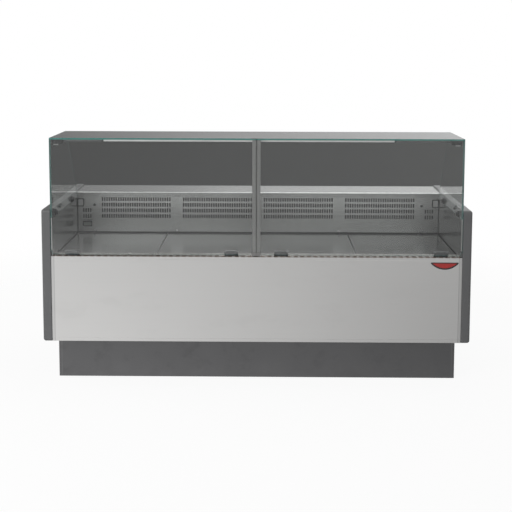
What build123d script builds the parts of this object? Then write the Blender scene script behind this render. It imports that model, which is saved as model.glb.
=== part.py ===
"""Refrigerated deli case: a straight-glass serve-over counter, two metres between its end panels.

Millimetres, +Z up. The origin is on the floor under the middle of the case. The customer's side faces -Y,
and +X is to the customer's right.
"""

from build123d import *
import os

os.makedirs("parts", exist_ok=True)

# ---- driving dimensions -------------------------------------------------------------------------
DEPTH = 930
HEIGHT = 1230
HALF_IN = 1000  # half the length between the two end panels
END_T = 45  # thickness of a foamed end panel
GAP = 0.3  # working gap between neighbouring pieces
SHEET = 1.5

FRONT = -DEPTH / 2
REAR = DEPTH / 2
HALF_FIT = HALF_IN - GAP  # half length of whatever fits between the end panels

PLINTH_TOP = 229
PLINTH_FRONT = FRONT + 155
PANEL_FRONT = FRONT + 2.5
FRAME_TUBE = 40
FRAME_BOTTOM = 60
TUB_BOTTOM = 440
SILL_TOP = 653
DECK_TOP = 645
END_TOP = 882
END_BOTTOM = 227
WORKTOP_TOP = 874
WORKTOP_FRONT = 205
WORKTOP_FOLD = 26

FOAM = 50
TUB_HALF = 991
TUB_REAR = 320
LINER = 1.0

GLASS = 8
PANE = 6
TOP_GLASS_REAR = -65
SIDE_GLASS_BOTTOM = 840.3
SIDE_GLASS_REAR = 200

HINGE_X = (-898, -121, 121, 898)
PIVOT_Y = -451
PIVOT_Z = 670
PIN_R = 4.0
RUNNING = 0.05  # radial clearance of a hinge pin or a fan shaft

TRAY_PITCH = 494
TRAY_FRONT = -390
TRAY_REAR = 192
TRAY_LIP = 15

GRILLE_Y = 208
FAN_X = (-235, 235)
FAN_Z = 552
FAN_R = 49
FAN_PLATE_Y = -250
BEARER_X = (-980, -494, 0, 494, 980)

UNIT_X = 610
UNIT_TRAY_Z = 100.3
CONDENSER_Z = 240
CONDENSER_FAN_R = 115

CONTROL_X = 700
CONTROL_Z = 750
KEY_X = (CONTROL_X + 22, CONTROL_X + 46)
SWITCH_X = CONTROL_X + 100

frame_x = (-(HALF_IN - 60), 0, HALF_IN - 60)
frame_y = (PLINTH_FRONT + 55, REAR - 45)


def save(piece, name):
    """Label a finished piece and write its STEP file."""
    piece.part.label = name
    export_step(piece.part, f"parts/{name}.step")


def folded(points, thickness, half_length, side=Side.LEFT):
    """A sheet folded along a Y-Z outline and running the length of the case."""
    with BuildPart() as sheet:
        with BuildSketch(Plane.YZ.offset(-half_length)):
            with BuildLine():
                Polyline(*points)
                offset(amount=thickness, side=side, kind=Kind.INTERSECTION)
            make_face()
        extrude(amount=2 * half_length)
    return sheet


# ---- base frame and feet --------------------------------------------------------------------------
bay = (frame_x[2] - frame_x[0]) / 2
span_y = frame_y[1] - frame_y[0]
mid_y = (frame_y[0] + frame_y[1]) / 2
rail_z = FRAME_BOTTOM + FRAME_TUBE / 2
head_z = TUB_BOTTOM - FRAME_TUBE / 2
post_z = (rail_z + head_z) / 2
post_length = head_z - rail_z - FRAME_TUBE
arm_front = FRONT + 25
arm_rear = REAR - 25
WALL = 2.0
WELD_GAP = 0.2  # each tube stays a solid of its own


def tube(length, place, direction):
    """A square tube of the base frame, open at both ends, centred on a place."""
    with BuildPart() as piece:
        with BuildSketch(Plane(origin=place, z_dir=direction)):
            Rectangle(FRAME_TUBE, FRAME_TUBE)
            Rectangle(FRAME_TUBE - 2 * WALL, FRAME_TUBE - 2 * WALL, mode=Mode.SUBTRACT)
        extrude(amount=(length - WELD_GAP) / 2, both=True)
    return piece.part


rails = [tube(2 * HALF_IN - 80, (0, y, rail_z), (1, 0, 0)) for y in frame_y]
ties = [tube(span_y - FRAME_TUBE, (x, mid_y, rail_z), (0, 1, 0)) for x in frame_x]
uprights = [tube(post_length, (x, y, post_z), (0, 0, 1)) for x in frame_x for y in frame_y]
arms = [tube(arm_rear - arm_front, (x, (arm_front + arm_rear) / 2, head_z), (0, 1, 0)) for x in frame_x]
headers = [
    tube(bay - FRAME_TUBE, (s * bay / 2, y, head_z), (1, 0, 0)) for s in (-1, 1) for y in frame_y
]
foot_places = [(x, y) for x in frame_x for y in frame_y]
FOOT_R = 5.0

with BuildPart() as base_frame:
    add(rails + ties + uprights + arms + headers)
    with Locations(*[(x, y, FRAME_BOTTOM) for x, y in foot_places]):
        Cylinder(FOOT_R + GAP, 4 * WALL, mode=Mode.SUBTRACT)
save(base_frame, "base_frame")

with BuildPart() as levelling_feet:
    with Locations(*[(x, y, 0) for x, y in foot_places]):
        Cylinder(28, 10, align=(Align.CENTER, Align.CENTER, Align.MIN))
        Cylinder(16, 18, align=(Align.CENTER, Align.CENTER, Align.MIN))
        Cylinder(FOOT_R, 88, align=(Align.CENTER, Align.CENTER, Align.MIN))
    with Locations(*[(x, y, FRAME_BOTTOM - 8.2) for x, y in foot_places]):
        with BuildSketch(Plane.XY.offset(FRAME_BOTTOM - 8.2)):
            with Locations(*foot_places):
                RegularPolygon(9.8, 6)
        extrude(amount=8)
    chamfer(levelling_feet.edges().filter_by(GeomType.CIRCLE).group_by(Axis.Z)[1], 2)
save(levelling_feet, "levelling_feet")

# ---- plinth ---------------------------------------------------------------------------------------
plinth_z = (2, PLINTH_TOP - GAP)
plinth_points = [
    (PLINTH_FRONT + 20, plinth_z[1]),
    (PLINTH_FRONT, plinth_z[1]),
    (PLINTH_FRONT, plinth_z[0]),
    (PLINTH_FRONT + 20, plinth_z[0]),
]
plinth_front = folded(plinth_points, SHEET, HALF_IN)
save(plinth_front, "plinth_front")

PLINTH_END_FRONT = PLINTH_FRONT + SHEET + GAP
PLINTH_END_REAR = REAR - 22
with BuildPart() as plinth_ends:
    for s in (-1, 1):
        with BuildSketch(Plane.XZ.offset(-PLINTH_END_FRONT)):
            with BuildLine():
                Polyline(
                    (s * (HALF_IN - 20), plinth_z[0]),
                    (s * HALF_IN, plinth_z[0]),
                    (s * HALF_IN, plinth_z[1]),
                    (s * (HALF_IN - 20), plinth_z[1]),
                )
                offset(
                    amount=SHEET,
                    side=Side.LEFT if s > 0 else Side.RIGHT,
                    kind=Kind.INTERSECTION,
                )
            make_face()
        extrude(amount=-(PLINTH_END_REAR - PLINTH_END_FRONT))
    with BuildSketch(Plane.XZ.offset(-PLINTH_FRONT)):
        with Locations((0, plinth_z[1]), (0, plinth_z[0])):
            Rectangle(2 * HALF_IN, 4)
    extrude(amount=-26, mode=Mode.SUBTRACT)
save(plinth_ends, "plinth_ends")

# ---- front panel and badge ------------------------------------------------------------------------
EDGE_STRIP = 15  # the face is set back a little along its top and bottom edges
EDGE_STEP = 1.0
panel_points = [
    (PANEL_FRONT + EDGE_STEP + 2.5, SILL_TOP - 2),
    (PANEL_FRONT + EDGE_STEP, SILL_TOP - 2),
    (PANEL_FRONT + EDGE_STEP, SILL_TOP - EDGE_STRIP),
    (PANEL_FRONT, SILL_TOP - EDGE_STRIP - 1),
    (PANEL_FRONT, PLINTH_TOP + EDGE_STRIP + 1),
    (PANEL_FRONT + EDGE_STEP, PLINTH_TOP + EDGE_STRIP),
    (PANEL_FRONT + EDGE_STEP, PLINTH_TOP),
    (PLINTH_FRONT - GAP, PLINTH_TOP),
    (PLINTH_FRONT - GAP, PLINTH_TOP + 15),
]
front_panel = folded(panel_points, SHEET, HALF_FIT)
save(front_panel, "front_panel")

BADGE_X = 915
BADGE_TOP = 629
BADGE_W = 134
BADGE_H = 35
BADGE_END = 5  # height of the short straight ends of the badge
with BuildPart() as badge:
    with BuildSketch(Plane.XZ.offset(-PANEL_FRONT + GAP)) as badge_plate:
        with BuildLine():
            upper = Polyline(
                (BADGE_X - BADGE_W / 2, BADGE_TOP - BADGE_END),
                (BADGE_X - BADGE_W / 2, BADGE_TOP),
                (BADGE_X + BADGE_W / 2, BADGE_TOP),
                (BADGE_X + BADGE_W / 2, BADGE_TOP - BADGE_END),
            )
            ThreePointArc(upper @ 1, (BADGE_X, BADGE_TOP - BADGE_H), upper @ 0)
        make_face()
        fillet(badge_plate.vertices(), 3)
    extrude(amount=2.0)
    fillet(badge.faces().sort_by(Axis.Y)[0].edges(), 0.8)
save(badge, "badge")

# ---- foamed end panels ------------------------------------------------------------------------------
for s, name in ((-1, "side_panel_left"), (1, "side_panel_right")):
    with BuildPart() as side_panel:
        with BuildSketch(Plane.YZ.offset(s * (HALF_IN + GAP))):
            with Locations((0, (END_TOP + END_BOTTOM) / 2)):
                RectangleRounded(DEPTH, END_TOP - END_BOTTOM, 14)
        extrude(amount=s * (END_T - GAP))
        outer = side_panel.faces().sort_by(Axis.X)[-1 if s > 0 else 0]
        fillet(outer.edges(), 12)
        inner = side_panel.faces().sort_by(Axis.X)[0 if s > 0 else -1]
        fillet(inner.edges(), 3)
    save(side_panel, name)

# ---- insulated tub ----------------------------------------------------------------------------------
SKIN = 1.0
foam_front = PANEL_FRONT + EDGE_STEP + SHEET + SKIN + 2 * GAP
foam_bottom = TUB_BOTTOM + SKIN + GAP
floor_z = foam_bottom + FOAM
foam_top_front = SILL_TOP - 13
foam_top_rear = WORKTOP_TOP - 29
duct_front = foam_front + 10
duct_rear = TUB_REAR - FOAM
slope_low = (foam_front + FOAM, floor_z + 70)
slope_high = (duct_front, floor_z + 118)
cavity = [
    (duct_front, foam_top_front),
    slope_high,
    slope_low,
    (foam_front + FOAM, floor_z),
    (duct_rear, floor_z),
    (duct_rear, foam_top_rear),
]
DRAIN_X = -200
DRAIN_Y = 40
DRAIN_R = 20
drain_hole = Pos(DRAIN_X, DRAIN_Y, TUB_BOTTOM + FOAM / 2) * Cylinder(DRAIN_R + GAP, 4 * FOAM)

with BuildPart() as tub_insulation:
    with BuildSketch(Plane.YZ.offset(-TUB_HALF)):
        with BuildLine():
            Polyline(
                (foam_front, foam_top_front),
                *cavity,
                (TUB_REAR, foam_top_rear),
                (TUB_REAR, foam_bottom),
                (foam_front, foam_bottom),
                close=True,
            )
        make_face()
    extrude(amount=2 * TUB_HALF)
    add(drain_hole, mode=Mode.SUBTRACT)
save(tub_insulation, "tub_insulation")

inset = [(1, 0), (1, 0), (1, 0), (1, 1), (-1, 1), (-1, 0)]
liner_points = [(y + GAP * f, z + GAP * g) for (y, z), (f, g) in zip(cavity, inset)]
tub_liner = folded(liner_points, LINER, TUB_HALF)
with tub_liner:
    add(drain_hole, mode=Mode.SUBTRACT)
save(tub_liner, "tub_liner")

skin_points = [
    (foam_front - GAP, foam_top_front),
    (foam_front - GAP, foam_bottom - GAP),
    (TUB_REAR + GAP, foam_bottom - GAP),
    (TUB_REAR + GAP, foam_top_rear),
]
tub_outer_skin = folded(skin_points, SKIN, TUB_HALF, Side.RIGHT)
with tub_outer_skin:
    add(drain_hole, mode=Mode.SUBTRACT)
save(tub_outer_skin, "tub_outer_skin")

with BuildPart() as drain_outlet:
    with Locations((DRAIN_X, DRAIN_Y, TUB_BOTTOM - 45)):
        Cylinder(DRAIN_R, floor_z - TUB_BOTTOM + 47, align=(Align.CENTER, Align.CENTER, Align.MIN))
    with Locations((DRAIN_X, DRAIN_Y, floor_z + GAP + LINER + 0.1)):
        Cylinder(DRAIN_R + 10, 2.5, align=(Align.CENTER, Align.CENTER, Align.MIN))
    with Locations((DRAIN_X, DRAIN_Y, TUB_BOTTOM)):
        Cylinder(DRAIN_R - 3, 400, mode=Mode.SUBTRACT)
save(drain_outlet, "drain_outlet")

END_LINER = 8.0
liner_front = FRONT + 13
end_liner_x = HALF_FIT - END_LINER
liner_top = SIDE_GLASS_BOTTOM - 0.6
for s, name in ((-1, "end_liner_left"), (1, "end_liner_right")):
    with BuildPart() as end_liner:
        with BuildSketch(Plane.YZ.offset(s * end_liner_x)):
            with BuildLine():
                Polyline(
                    (liner_front, liner_top),
                    (liner_front, SILL_TOP - 48),
                    (foam_front + FOAM, floor_z + 65),
                    (foam_front + FOAM, floor_z),
                    (duct_rear, floor_z),
                    (duct_rear, liner_top),
                    close=True,
                )
            make_face()
        extrude(amount=s * END_LINER)
        wall = end_liner.faces().sort_by(Axis.X)[-1 if s > 0 else 0]
        offset(amount=-LINER, openings=wall)
    save(end_liner, name)

# ---- front sill -------------------------------------------------------------------------------------
LIP_FRONT = FRONT + 47
LIP_REAR = FRONT + 71
sill_points = [
    (FRONT + 2, SILL_TOP - 1.5),
    (LIP_FRONT, SILL_TOP - 1.5),
    (LIP_FRONT + 3, SILL_TOP + 2),
    (LIP_REAR, SILL_TOP + 2),
    (LIP_REAR, SILL_TOP - 21),
]
SLOT_PITCH = 32
SLOT_LENGTH = 21
SLOT_WIDTH = 15
SLOT_Y = FRONT + 26
slot_keep_outs = [(x, 52) for x in HINGE_X] + [(0, 44)]
sill_sheet = folded(sill_points, SHEET, end_liner_x - GAP)
slot_x = [(i - 30) * SLOT_PITCH for i in range(61)]
slot_x = [x for x in slot_x if all(abs(x - h) > clear for h, clear in slot_keep_outs)]
with BuildPart() as front_sill:
    add(sill_sheet.part)
    with BuildSketch(Plane.XY.offset(SILL_TOP + 5)):
        with Locations(*[(x, SLOT_Y) for x in slot_x]):
            RectangleRounded(SLOT_LENGTH, SLOT_WIDTH, 3)
    extrude(amount=-15, mode=Mode.SUBTRACT)
save(front_sill, "front_sill")

# ---- deck -------------------------------------------------------------------------------------------
for i in range(4):
    x = (i - 1.5) * TRAY_PITCH
    tray_depth = TRAY_REAR - TRAY_FRONT
    tray_y = (TRAY_REAR + TRAY_FRONT) / 2
    with BuildPart() as deck_tray:
        with Locations((x, tray_y, DECK_TOP - TRAY_LIP / 2)):
            Box(TRAY_PITCH - 1.2, tray_depth, TRAY_LIP)
        fillet(deck_tray.faces().sort_by(Axis.Z)[-1].edges(), 2)
        offset(amount=-1.2, openings=deck_tray.faces().sort_by(Axis.Z)[0])
    save(deck_tray, f"deck_tray_{i + 1}")

BEARER_TOP = DECK_TOP - TRAY_LIP - GAP
BEARER_BOTTOM = BEARER_TOP - 15
BEARER_FRONT = slope_low[0] + 6
BEARER_REAR = TRAY_REAR + 6
bearer_foot = floor_z + GAP + LINER
with BuildPart() as tray_bearers:
    for x in BEARER_X:
        with BuildSketch(Plane.YZ.offset(x - 9)):
            with BuildLine():
                Polyline(
                    (BEARER_FRONT, bearer_foot),
                    (BEARER_FRONT, BEARER_TOP),
                    (BEARER_REAR, BEARER_TOP),
                    (BEARER_REAR, bearer_foot),
                    (BEARER_REAR - 12, bearer_foot),
                    (BEARER_REAR - 12, BEARER_BOTTOM),
                    (BEARER_FRONT + 12, BEARER_BOTTOM),
                    (BEARER_FRONT + 12, bearer_foot),
                    close=True,
                )
            make_face()
        extrude(amount=18)
save(tray_bearers, "tray_bearers")

# ---- rear air grille with thermometer and corner covers -----------------------------------------------
GRILLE_BOTTOM = 641
GRILLE_TOP = WORKTOP_TOP - 4
GROUP_X = (-669, -222, 222, 669)
SLOT_COLUMNS = 30
COLUMN_PITCH = 12.8
SLOT_H = 22
SLOT_W = 7
ROW_Z = (832, 801, 770, 738)
END_GROUP_X = (-939, 939)
END_ROW_Z = (770, 737)
THERMO_X = -937
THERMO_Z = 697
SCREW_X = 898
SCREW_Z = 800
SCREW_R = 2.5
screw_places = [(x, SCREW_Z) for x in (-SCREW_X, SCREW_X)]
screw_places += [(x, 658) for x in (-SCREW_X, -445, 0, 445, SCREW_X)]
grille_half = end_liner_x - GAP
with BuildPart() as rear_air_grille:
    with BuildSketch(Plane.XZ.offset(-GRILLE_Y)):
        with Locations((0, (GRILLE_TOP + GRILLE_BOTTOM) / 2)):
            Rectangle(2 * grille_half, GRILLE_TOP - GRILLE_BOTTOM)
        for z in ROW_Z:
            for x in GROUP_X:
                with Locations((x, z)):
                    with GridLocations(COLUMN_PITCH, 0, SLOT_COLUMNS, 1):
                        SlotOverall(SLOT_H, SLOT_W, rotation=90, mode=Mode.SUBTRACT)
        for z in END_ROW_Z:
            for x in END_GROUP_X:
                with Locations((x, z)):
                    with GridLocations(COLUMN_PITCH, 0, 4, 1):
                        SlotOverall(SLOT_H, SLOT_W, rotation=90, mode=Mode.SUBTRACT)
        with Locations(*screw_places):
            Circle(SCREW_R + GAP, mode=Mode.SUBTRACT)
        with Locations((THERMO_X, THERMO_Z)):
            Rectangle(42, 23, mode=Mode.SUBTRACT)
    extrude(amount=-SHEET)
save(rear_air_grille, "rear_air_grille")

BEZEL_T = 10
with BuildPart() as thermometer_frame:
    with BuildSketch(Plane.XZ.offset(-GRILLE_Y + GAP)):
        with Locations((THERMO_X, THERMO_Z)):
            RectangleRounded(50, 31, 3)
            Rectangle(38.6, 19.6, mode=Mode.SUBTRACT)
    extrude(amount=BEZEL_T)
    fillet(thermometer_frame.faces().sort_by(Axis.Y)[0].edges().filter_by(Axis.Y, reverse=True), 1)
    with BuildSketch(Plane.XZ.offset(-GRILLE_Y + GAP)):
        with Locations((THERMO_X, THERMO_Z)):
            Rectangle(41.4, 22.4)
            Rectangle(38.6, 19.6, mode=Mode.SUBTRACT)
    extrude(amount=-16)
save(thermometer_frame, "thermometer_frame")

with BuildPart() as thermometer_display:
    with Locations((THERMO_X, GRILLE_Y - 4, THERMO_Z)):
        Box(38, 8, 19)
    fillet(thermometer_display.edges().filter_by(Axis.Y), 1)
save(thermometer_display, "thermometer_display")

COVER_W = 37
COVER_H = 46
with BuildPart() as corner_covers:
    for s in (-1, 1):
        with BuildSketch(Plane.XZ.offset(-GRILLE_Y + GAP)):
            with Locations((s * (end_liner_x - GAP - COVER_W / 2), 814)):
                RectangleRounded(COVER_W, COVER_H, 4)
        extrude(amount=7)
    fillet(corner_covers.faces().group_by(Axis.Y)[0].edges(), 1.5)
save(corner_covers, "corner_covers")

# ---- worktop and rear panels -------------------------------------------------------------------------
NOTCH_X = (-985, 18, 985)
worktop_points = [
    (WORKTOP_FRONT, WORKTOP_TOP - WORKTOP_FOLD),
    (WORKTOP_FRONT, WORKTOP_TOP),
    (REAR, WORKTOP_TOP),
    (REAR, WORKTOP_TOP - 30),
]
with BuildPart() as worktop:
    with BuildSketch(Plane.YZ.offset(-HALF_FIT)):
        with BuildLine():
            Polyline(*worktop_points)
            offset(amount=SHEET, side=Side.RIGHT, kind=Kind.INTERSECTION)
        make_face()
    extrude(amount=2 * HALF_FIT)
    fillet(worktop.edges().filter_by(Axis.X).group_by(Axis.Z)[-1], 5)
    with BuildSketch(Plane.XZ.offset(-WORKTOP_FRONT + 2)):
        with Locations(*[(x, WORKTOP_TOP - 15) for x in NOTCH_X]):
            Rectangle(4, 16)
    extrude(amount=-6, mode=Mode.SUBTRACT)
save(worktop, "worktop")

PANEL_Y = REAR - 7.5  # inner face of the rear panels
CONTROL_W = 300
CONTROL_H = 110
rear_panel_z = (443, WORKTOP_TOP - 30)
service_z = (30, 440)
PANEL_SCREW_Y = PANEL_Y + SHEET
upper_screws = [(x, z) for x in (-960, -320, 320, 960) for z in (460, 828)]
service_screws = [(x, z) for x in (-960, 0, 960) for z in (44, 426)]
control_screws = [(CONTROL_X + i * 138, CONTROL_Z + k * 43) for i in (-1, 1) for k in (-1, 1)]

with BuildPart() as rear_upper_panel:
    with BuildSketch(Plane.XZ.offset(-PANEL_Y)):
        with Locations((0, sum(rear_panel_z) / 2)):
            Rectangle(2 * HALF_FIT, rear_panel_z[1] - rear_panel_z[0])
        with Locations((CONTROL_X, CONTROL_Z)):
            Rectangle(CONTROL_W - 40, CONTROL_H - 40, mode=Mode.SUBTRACT)
        with Locations(*upper_screws, *control_screws):
            Circle(SCREW_R + GAP, mode=Mode.SUBTRACT)
    extrude(amount=-SHEET)
    with Locations((0, PANEL_Y, rear_panel_z[0] + SHEET / 2)):
        Box(2 * HALF_FIT, 14, SHEET, align=(Align.CENTER, Align.MAX, Align.CENTER))
save(rear_upper_panel, "rear_upper_panel")

GLAND_X = -880
GLAND_Z = 160
GLAND_R = 10
with BuildPart() as service_panel:
    with BuildSketch(Plane.XZ.offset(-PANEL_Y)):
        with Locations((0, sum(service_z) / 2)):
            Rectangle(2 * HALF_FIT, service_z[1] - service_z[0])
        with Locations((0, 270)):
            with GridLocations(150, 22, 11, 11):
                SlotOverall(120, 9, mode=Mode.SUBTRACT)
        with Locations(*service_screws):
            Circle(SCREW_R + GAP, mode=Mode.SUBTRACT)
        with Locations((GLAND_X, GLAND_Z)):
            Circle(GLAND_R + GAP, mode=Mode.SUBTRACT)
    extrude(amount=-SHEET)
    for z in (service_z[0] + SHEET / 2, service_z[1] - SHEET / 2):
        with Locations((0, PANEL_Y, z)):
            Box(2 * HALF_FIT, 12, SHEET, align=(Align.CENTER, Align.MAX, Align.CENTER))
save(service_panel, "service_panel")

with BuildPart() as cable_gland:
    with BuildSketch(Plane.XZ.offset(-(PANEL_Y - 16))):
        with Locations((GLAND_X, GLAND_Z)):
            Circle(GLAND_R)
    extrude(amount=-(16 + SHEET + 4.5))
    with BuildSketch(Plane.XZ.offset(-(PANEL_Y - 7))):
        with Locations((GLAND_X, GLAND_Z)):
            RegularPolygon(15, 6)
    extrude(amount=-6.7)
    with BuildSketch(Plane.XZ.offset(-(PANEL_Y + SHEET + GAP))):
        with Locations((GLAND_X, GLAND_Z)):
            RegularPolygon(14, 6)
    extrude(amount=-3.2)
    with BuildSketch(Plane.XZ.offset(-(PANEL_Y - 30))):
        with Locations((GLAND_X, GLAND_Z)):
            Circle(5)
    extrude(amount=-60, mode=Mode.SUBTRACT)
save(cable_gland, "cable_gland")

# ---- control panel -----------------------------------------------------------------------------------
PLATE_Y = PANEL_Y + SHEET + GAP
PLATE_T = 3.0
KEY_R = 5.0
DISPLAY_W = 74
DISPLAY_H = 30
DISPLAY_X = CONTROL_X - 50
ROCKER_W = 14
ROCKER_H = 24
TRUNNION_R = 1.5
TRUNNION_Y = PLATE_Y - 6
with BuildPart() as control_panel:
    with BuildSketch(Plane.XZ.offset(-PLATE_Y)):
        with Locations((CONTROL_X, CONTROL_Z)):
            RectangleRounded(CONTROL_W, CONTROL_H, 8)
    extrude(amount=-PLATE_T)
    with Locations((SWITCH_X, PLATE_Y, CONTROL_Z)):
        Box(ROCKER_W + 8, 14, ROCKER_H + 12, align=(Align.CENTER, Align.MAX, Align.CENTER))
    with Locations((CONTROL_X + 34, PLATE_Y, CONTROL_Z)):
        Box(46, 16, 24, align=(Align.CENTER, Align.MAX, Align.CENTER))
    with BuildSketch(Plane.XZ.offset(-(PLATE_Y + PLATE_T))):
        with Locations(*[(x, CONTROL_Z) for x in KEY_X]):
            Circle(KEY_R + GAP)
        with Locations((SWITCH_X, CONTROL_Z)):
            Rectangle(ROCKER_W + 1.0, ROCKER_H + 4.0)
        with Locations((DISPLAY_X, CONTROL_Z)):
            RectangleRounded(DISPLAY_W + 0.6, DISPLAY_H + 0.6, 2)
        with Locations(*control_screws):
            Circle(SCREW_R + GAP)
    extrude(amount=60, mode=Mode.SUBTRACT)
    with Locations((SWITCH_X, TRUNNION_Y, CONTROL_Z)):
        Cylinder(TRUNNION_R + RUNNING, ROCKER_W + 20, rotation=(0, 90, 0), mode=Mode.SUBTRACT)
save(control_panel, "control_panel")

with BuildPart() as controller_display:
    with Locations((DISPLAY_X, PLATE_Y + PLATE_T - 0.4, CONTROL_Z)):
        Box(DISPLAY_W, 9, DISPLAY_H, align=(Align.CENTER, Align.MAX, Align.CENTER))
    fillet(controller_display.edges().filter_by(Axis.Y), 1.7)
save(controller_display, "controller_display")

for x, name in zip(KEY_X, ("controller_key_down", "controller_key_up")):
    with BuildPart() as key:
        with BuildSketch(Plane.XZ.offset(-(PLATE_Y - 9))):
            with Locations((x, CONTROL_Z)):
                Circle(KEY_R)
        extrude(amount=-(9 + PLATE_T + 1.4))
        fillet(key.edges().filter_by(GeomType.CIRCLE).sort_by(Axis.Y)[-1], 1)
    save(key, name)

with BuildPart() as light_switch:
    with BuildSketch(Plane.YZ.offset(SWITCH_X - ROCKER_W / 2)):
        with BuildLine():
            Polyline(
                (TRUNNION_Y - 4, CONTROL_Z - 5),
                (PLATE_Y + PLATE_T - 0.5, CONTROL_Z - ROCKER_H / 2),
                (PLATE_Y + PLATE_T + 0.5, CONTROL_Z - ROCKER_H / 2),
                (PLATE_Y + PLATE_T - 0.8, CONTROL_Z),
                (PLATE_Y + PLATE_T + 0.5, CONTROL_Z + ROCKER_H / 2),
                (PLATE_Y + PLATE_T - 0.5, CONTROL_Z + ROCKER_H / 2),
                (TRUNNION_Y - 4, CONTROL_Z + 5),
                close=True,
            )
        make_face()
    extrude(amount=ROCKER_W)
    with Locations((SWITCH_X, TRUNNION_Y, CONTROL_Z)):
        Cylinder(TRUNNION_R, ROCKER_W + 6, rotation=(0, 90, 0))
save(light_switch, "light_switch")

with BuildPart() as panel_screws:
    groups = (
        ([(x, z) for x, z in screw_places], GRILLE_Y, 1),
        (upper_screws + service_screws, PANEL_SCREW_Y, -1),
        (control_screws, PLATE_Y + PLATE_T, -1),
    )
    for places, face_y, s in groups:
        with BuildSketch(Plane.XZ.offset(-face_y + s * GAP)):
            with Locations(*places):
                Circle(5)
        extrude(amount=s * 2.2)
        with BuildSketch(Plane.XZ.offset(-face_y + s * GAP)):
            with Locations(*places):
                Circle(SCREW_R)
        extrude(amount=-s * 12)
    heads = panel_screws.edges().filter_by(GeomType.CIRCLE).filter_by(lambda e: e.radius > 4.9)
    groups_y = heads.group_by(Axis.Y)
    fillet(groups_y[0] + groups_y[-1], 1.2)
save(panel_screws, "panel_screws")

# ---- evaporator and its fans ---------------------------------------------------------------------------
COIL_FRONT = -150
COIL_DEPTH = 170
COIL_HALF = 450
COIL_Z = (floor_z + 8, floor_z + 108)
FIN_PITCH = 15
FIN_T = 1.2
TUBE_R = 6
coil_mid_y = COIL_FRONT + COIL_DEPTH / 2
coil_mid_z = sum(COIL_Z) / 2
fin_count = int(2 * COIL_HALF / FIN_PITCH) + 1
tube_rows = [(coil_mid_y + i * 42, coil_mid_z + k * 32) for i in (-1.5, -0.5, 0.5, 1.5) for k in (-1, 0, 1)]
with BuildPart() as evaporator_coil:
    with BuildSketch(Plane.YZ.offset(-COIL_HALF)):
        with Locations((coil_mid_y, coil_mid_z)):
            Rectangle(COIL_DEPTH, COIL_Z[1] - COIL_Z[0])
    extrude(amount=FIN_T)
    fin = evaporator_coil.part
    with Locations(*[(i * FIN_PITCH, 0, 0) for i in range(1, fin_count)]):
        add(fin)
    with BuildSketch(Plane.YZ.offset(-COIL_HALF - 8)):
        with Locations(*tube_rows):
            Circle(TUBE_R)
    extrude(amount=2 * COIL_HALF + 16)
save(evaporator_coil, "evaporator_coil")

PLATE_HALF = 470
with BuildPart() as fan_deck:
    with BuildSketch(Plane.XZ.offset(-FAN_PLATE_Y)):
        with Locations((0, (bearer_foot + BEARER_BOTTOM) / 2)):
            Rectangle(2 * PLATE_HALF, BEARER_BOTTOM - bearer_foot - 2 * GAP)
        with Locations(*[(x, FAN_Z) for x in FAN_X]):
            Circle(FAN_R + 3, mode=Mode.SUBTRACT)
    extrude(amount=-SHEET)
    with BuildSketch(Plane.XZ.offset(-FAN_PLATE_Y)):
        with Locations(*[(x, FAN_Z) for x in FAN_X]):
            Circle(FAN_R + 4.5)
            Circle(FAN_R + 3, mode=Mode.SUBTRACT)
    extrude(amount=18)
save(fan_deck, "fan_deck")

MOTOR_Y = FAN_PLATE_Y + SHEET + GAP
SHAFT_R = 3.0
with BuildPart() as evaporator_fan_motors:
    for x in FAN_X:
        with Locations((x, MOTOR_Y + 24, FAN_Z)):
            Cylinder(20, 40, rotation=(90, 0, 0))
        with Locations((x, MOTOR_Y + 2, FAN_Z)):
            Box(2 * FAN_R + 24, 4, 12)
        with Locations((x, MOTOR_Y - 10, FAN_Z)):
            Cylinder(SHAFT_R, 24, rotation=(90, 0, 0))
save(evaporator_fan_motors, "evaporator_fan_motors")


def axial_fan(x, y, z, radius, hub_r, width, blades, shaft_r):
    """An axial fan rotor on an axis along Y: a hub bored for its shaft, with pitched blades."""
    reach = radius - hub_r + 4
    with BuildPart(Plane(origin=(x, y, z), x_dir=(1, 0, 0), z_dir=(0, -1, 0))) as rotor:
        Cylinder(hub_r, width)
        with PolarLocations(hub_r + reach / 2 - 4, blades):
            Box(reach, radius * 0.55, 2.0, rotation=(32, 0, 0))
        Cylinder(radius, width * 3, mode=Mode.INTERSECT)
        Cylinder(shaft_r + RUNNING, width * 3, mode=Mode.SUBTRACT)
    return rotor


for i, x in enumerate(FAN_X):
    fan_rotor = axial_fan(x, FAN_PLATE_Y - 9, FAN_Z, FAN_R, 18, 16, 5, SHAFT_R)
    save(fan_rotor, f"evaporator_fan_{i + 1}")

# ---- condensing unit -----------------------------------------------------------------------------------
UNIT_W = 560
UNIT_D = 500
UNIT_Y = 90
with BuildPart() as unit_tray:
    with Locations((UNIT_X, UNIT_Y, UNIT_TRAY_Z)):
        Box(UNIT_W, UNIT_D, 22, align=(Align.CENTER, Align.CENTER, Align.MIN))
    offset(amount=-2, openings=unit_tray.faces().sort_by(Axis.Z)[-1])
save(unit_tray, "unit_tray")

unit_floor = UNIT_TRAY_Z + 2 + GAP
COMPRESSOR_X = UNIT_X + 160
COMPRESSOR_Y = 40
with BuildPart() as compressor:
    with Locations((COMPRESSOR_X, COMPRESSOR_Y, unit_floor)):
        Box(190, 190, 10, align=(Align.CENTER, Align.CENTER, Align.MIN))
        Cylinder(82, 200, align=(Align.CENTER, Align.CENTER, Align.MIN))
    fillet(compressor.edges().filter_by(GeomType.CIRCLE).sort_by(Axis.Z)[-1], 45)
    with Locations((COMPRESSOR_X + 82, COMPRESSOR_Y, unit_floor + 120)):
        Box(36, 60, 70)
save(compressor, "compressor")

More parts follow.
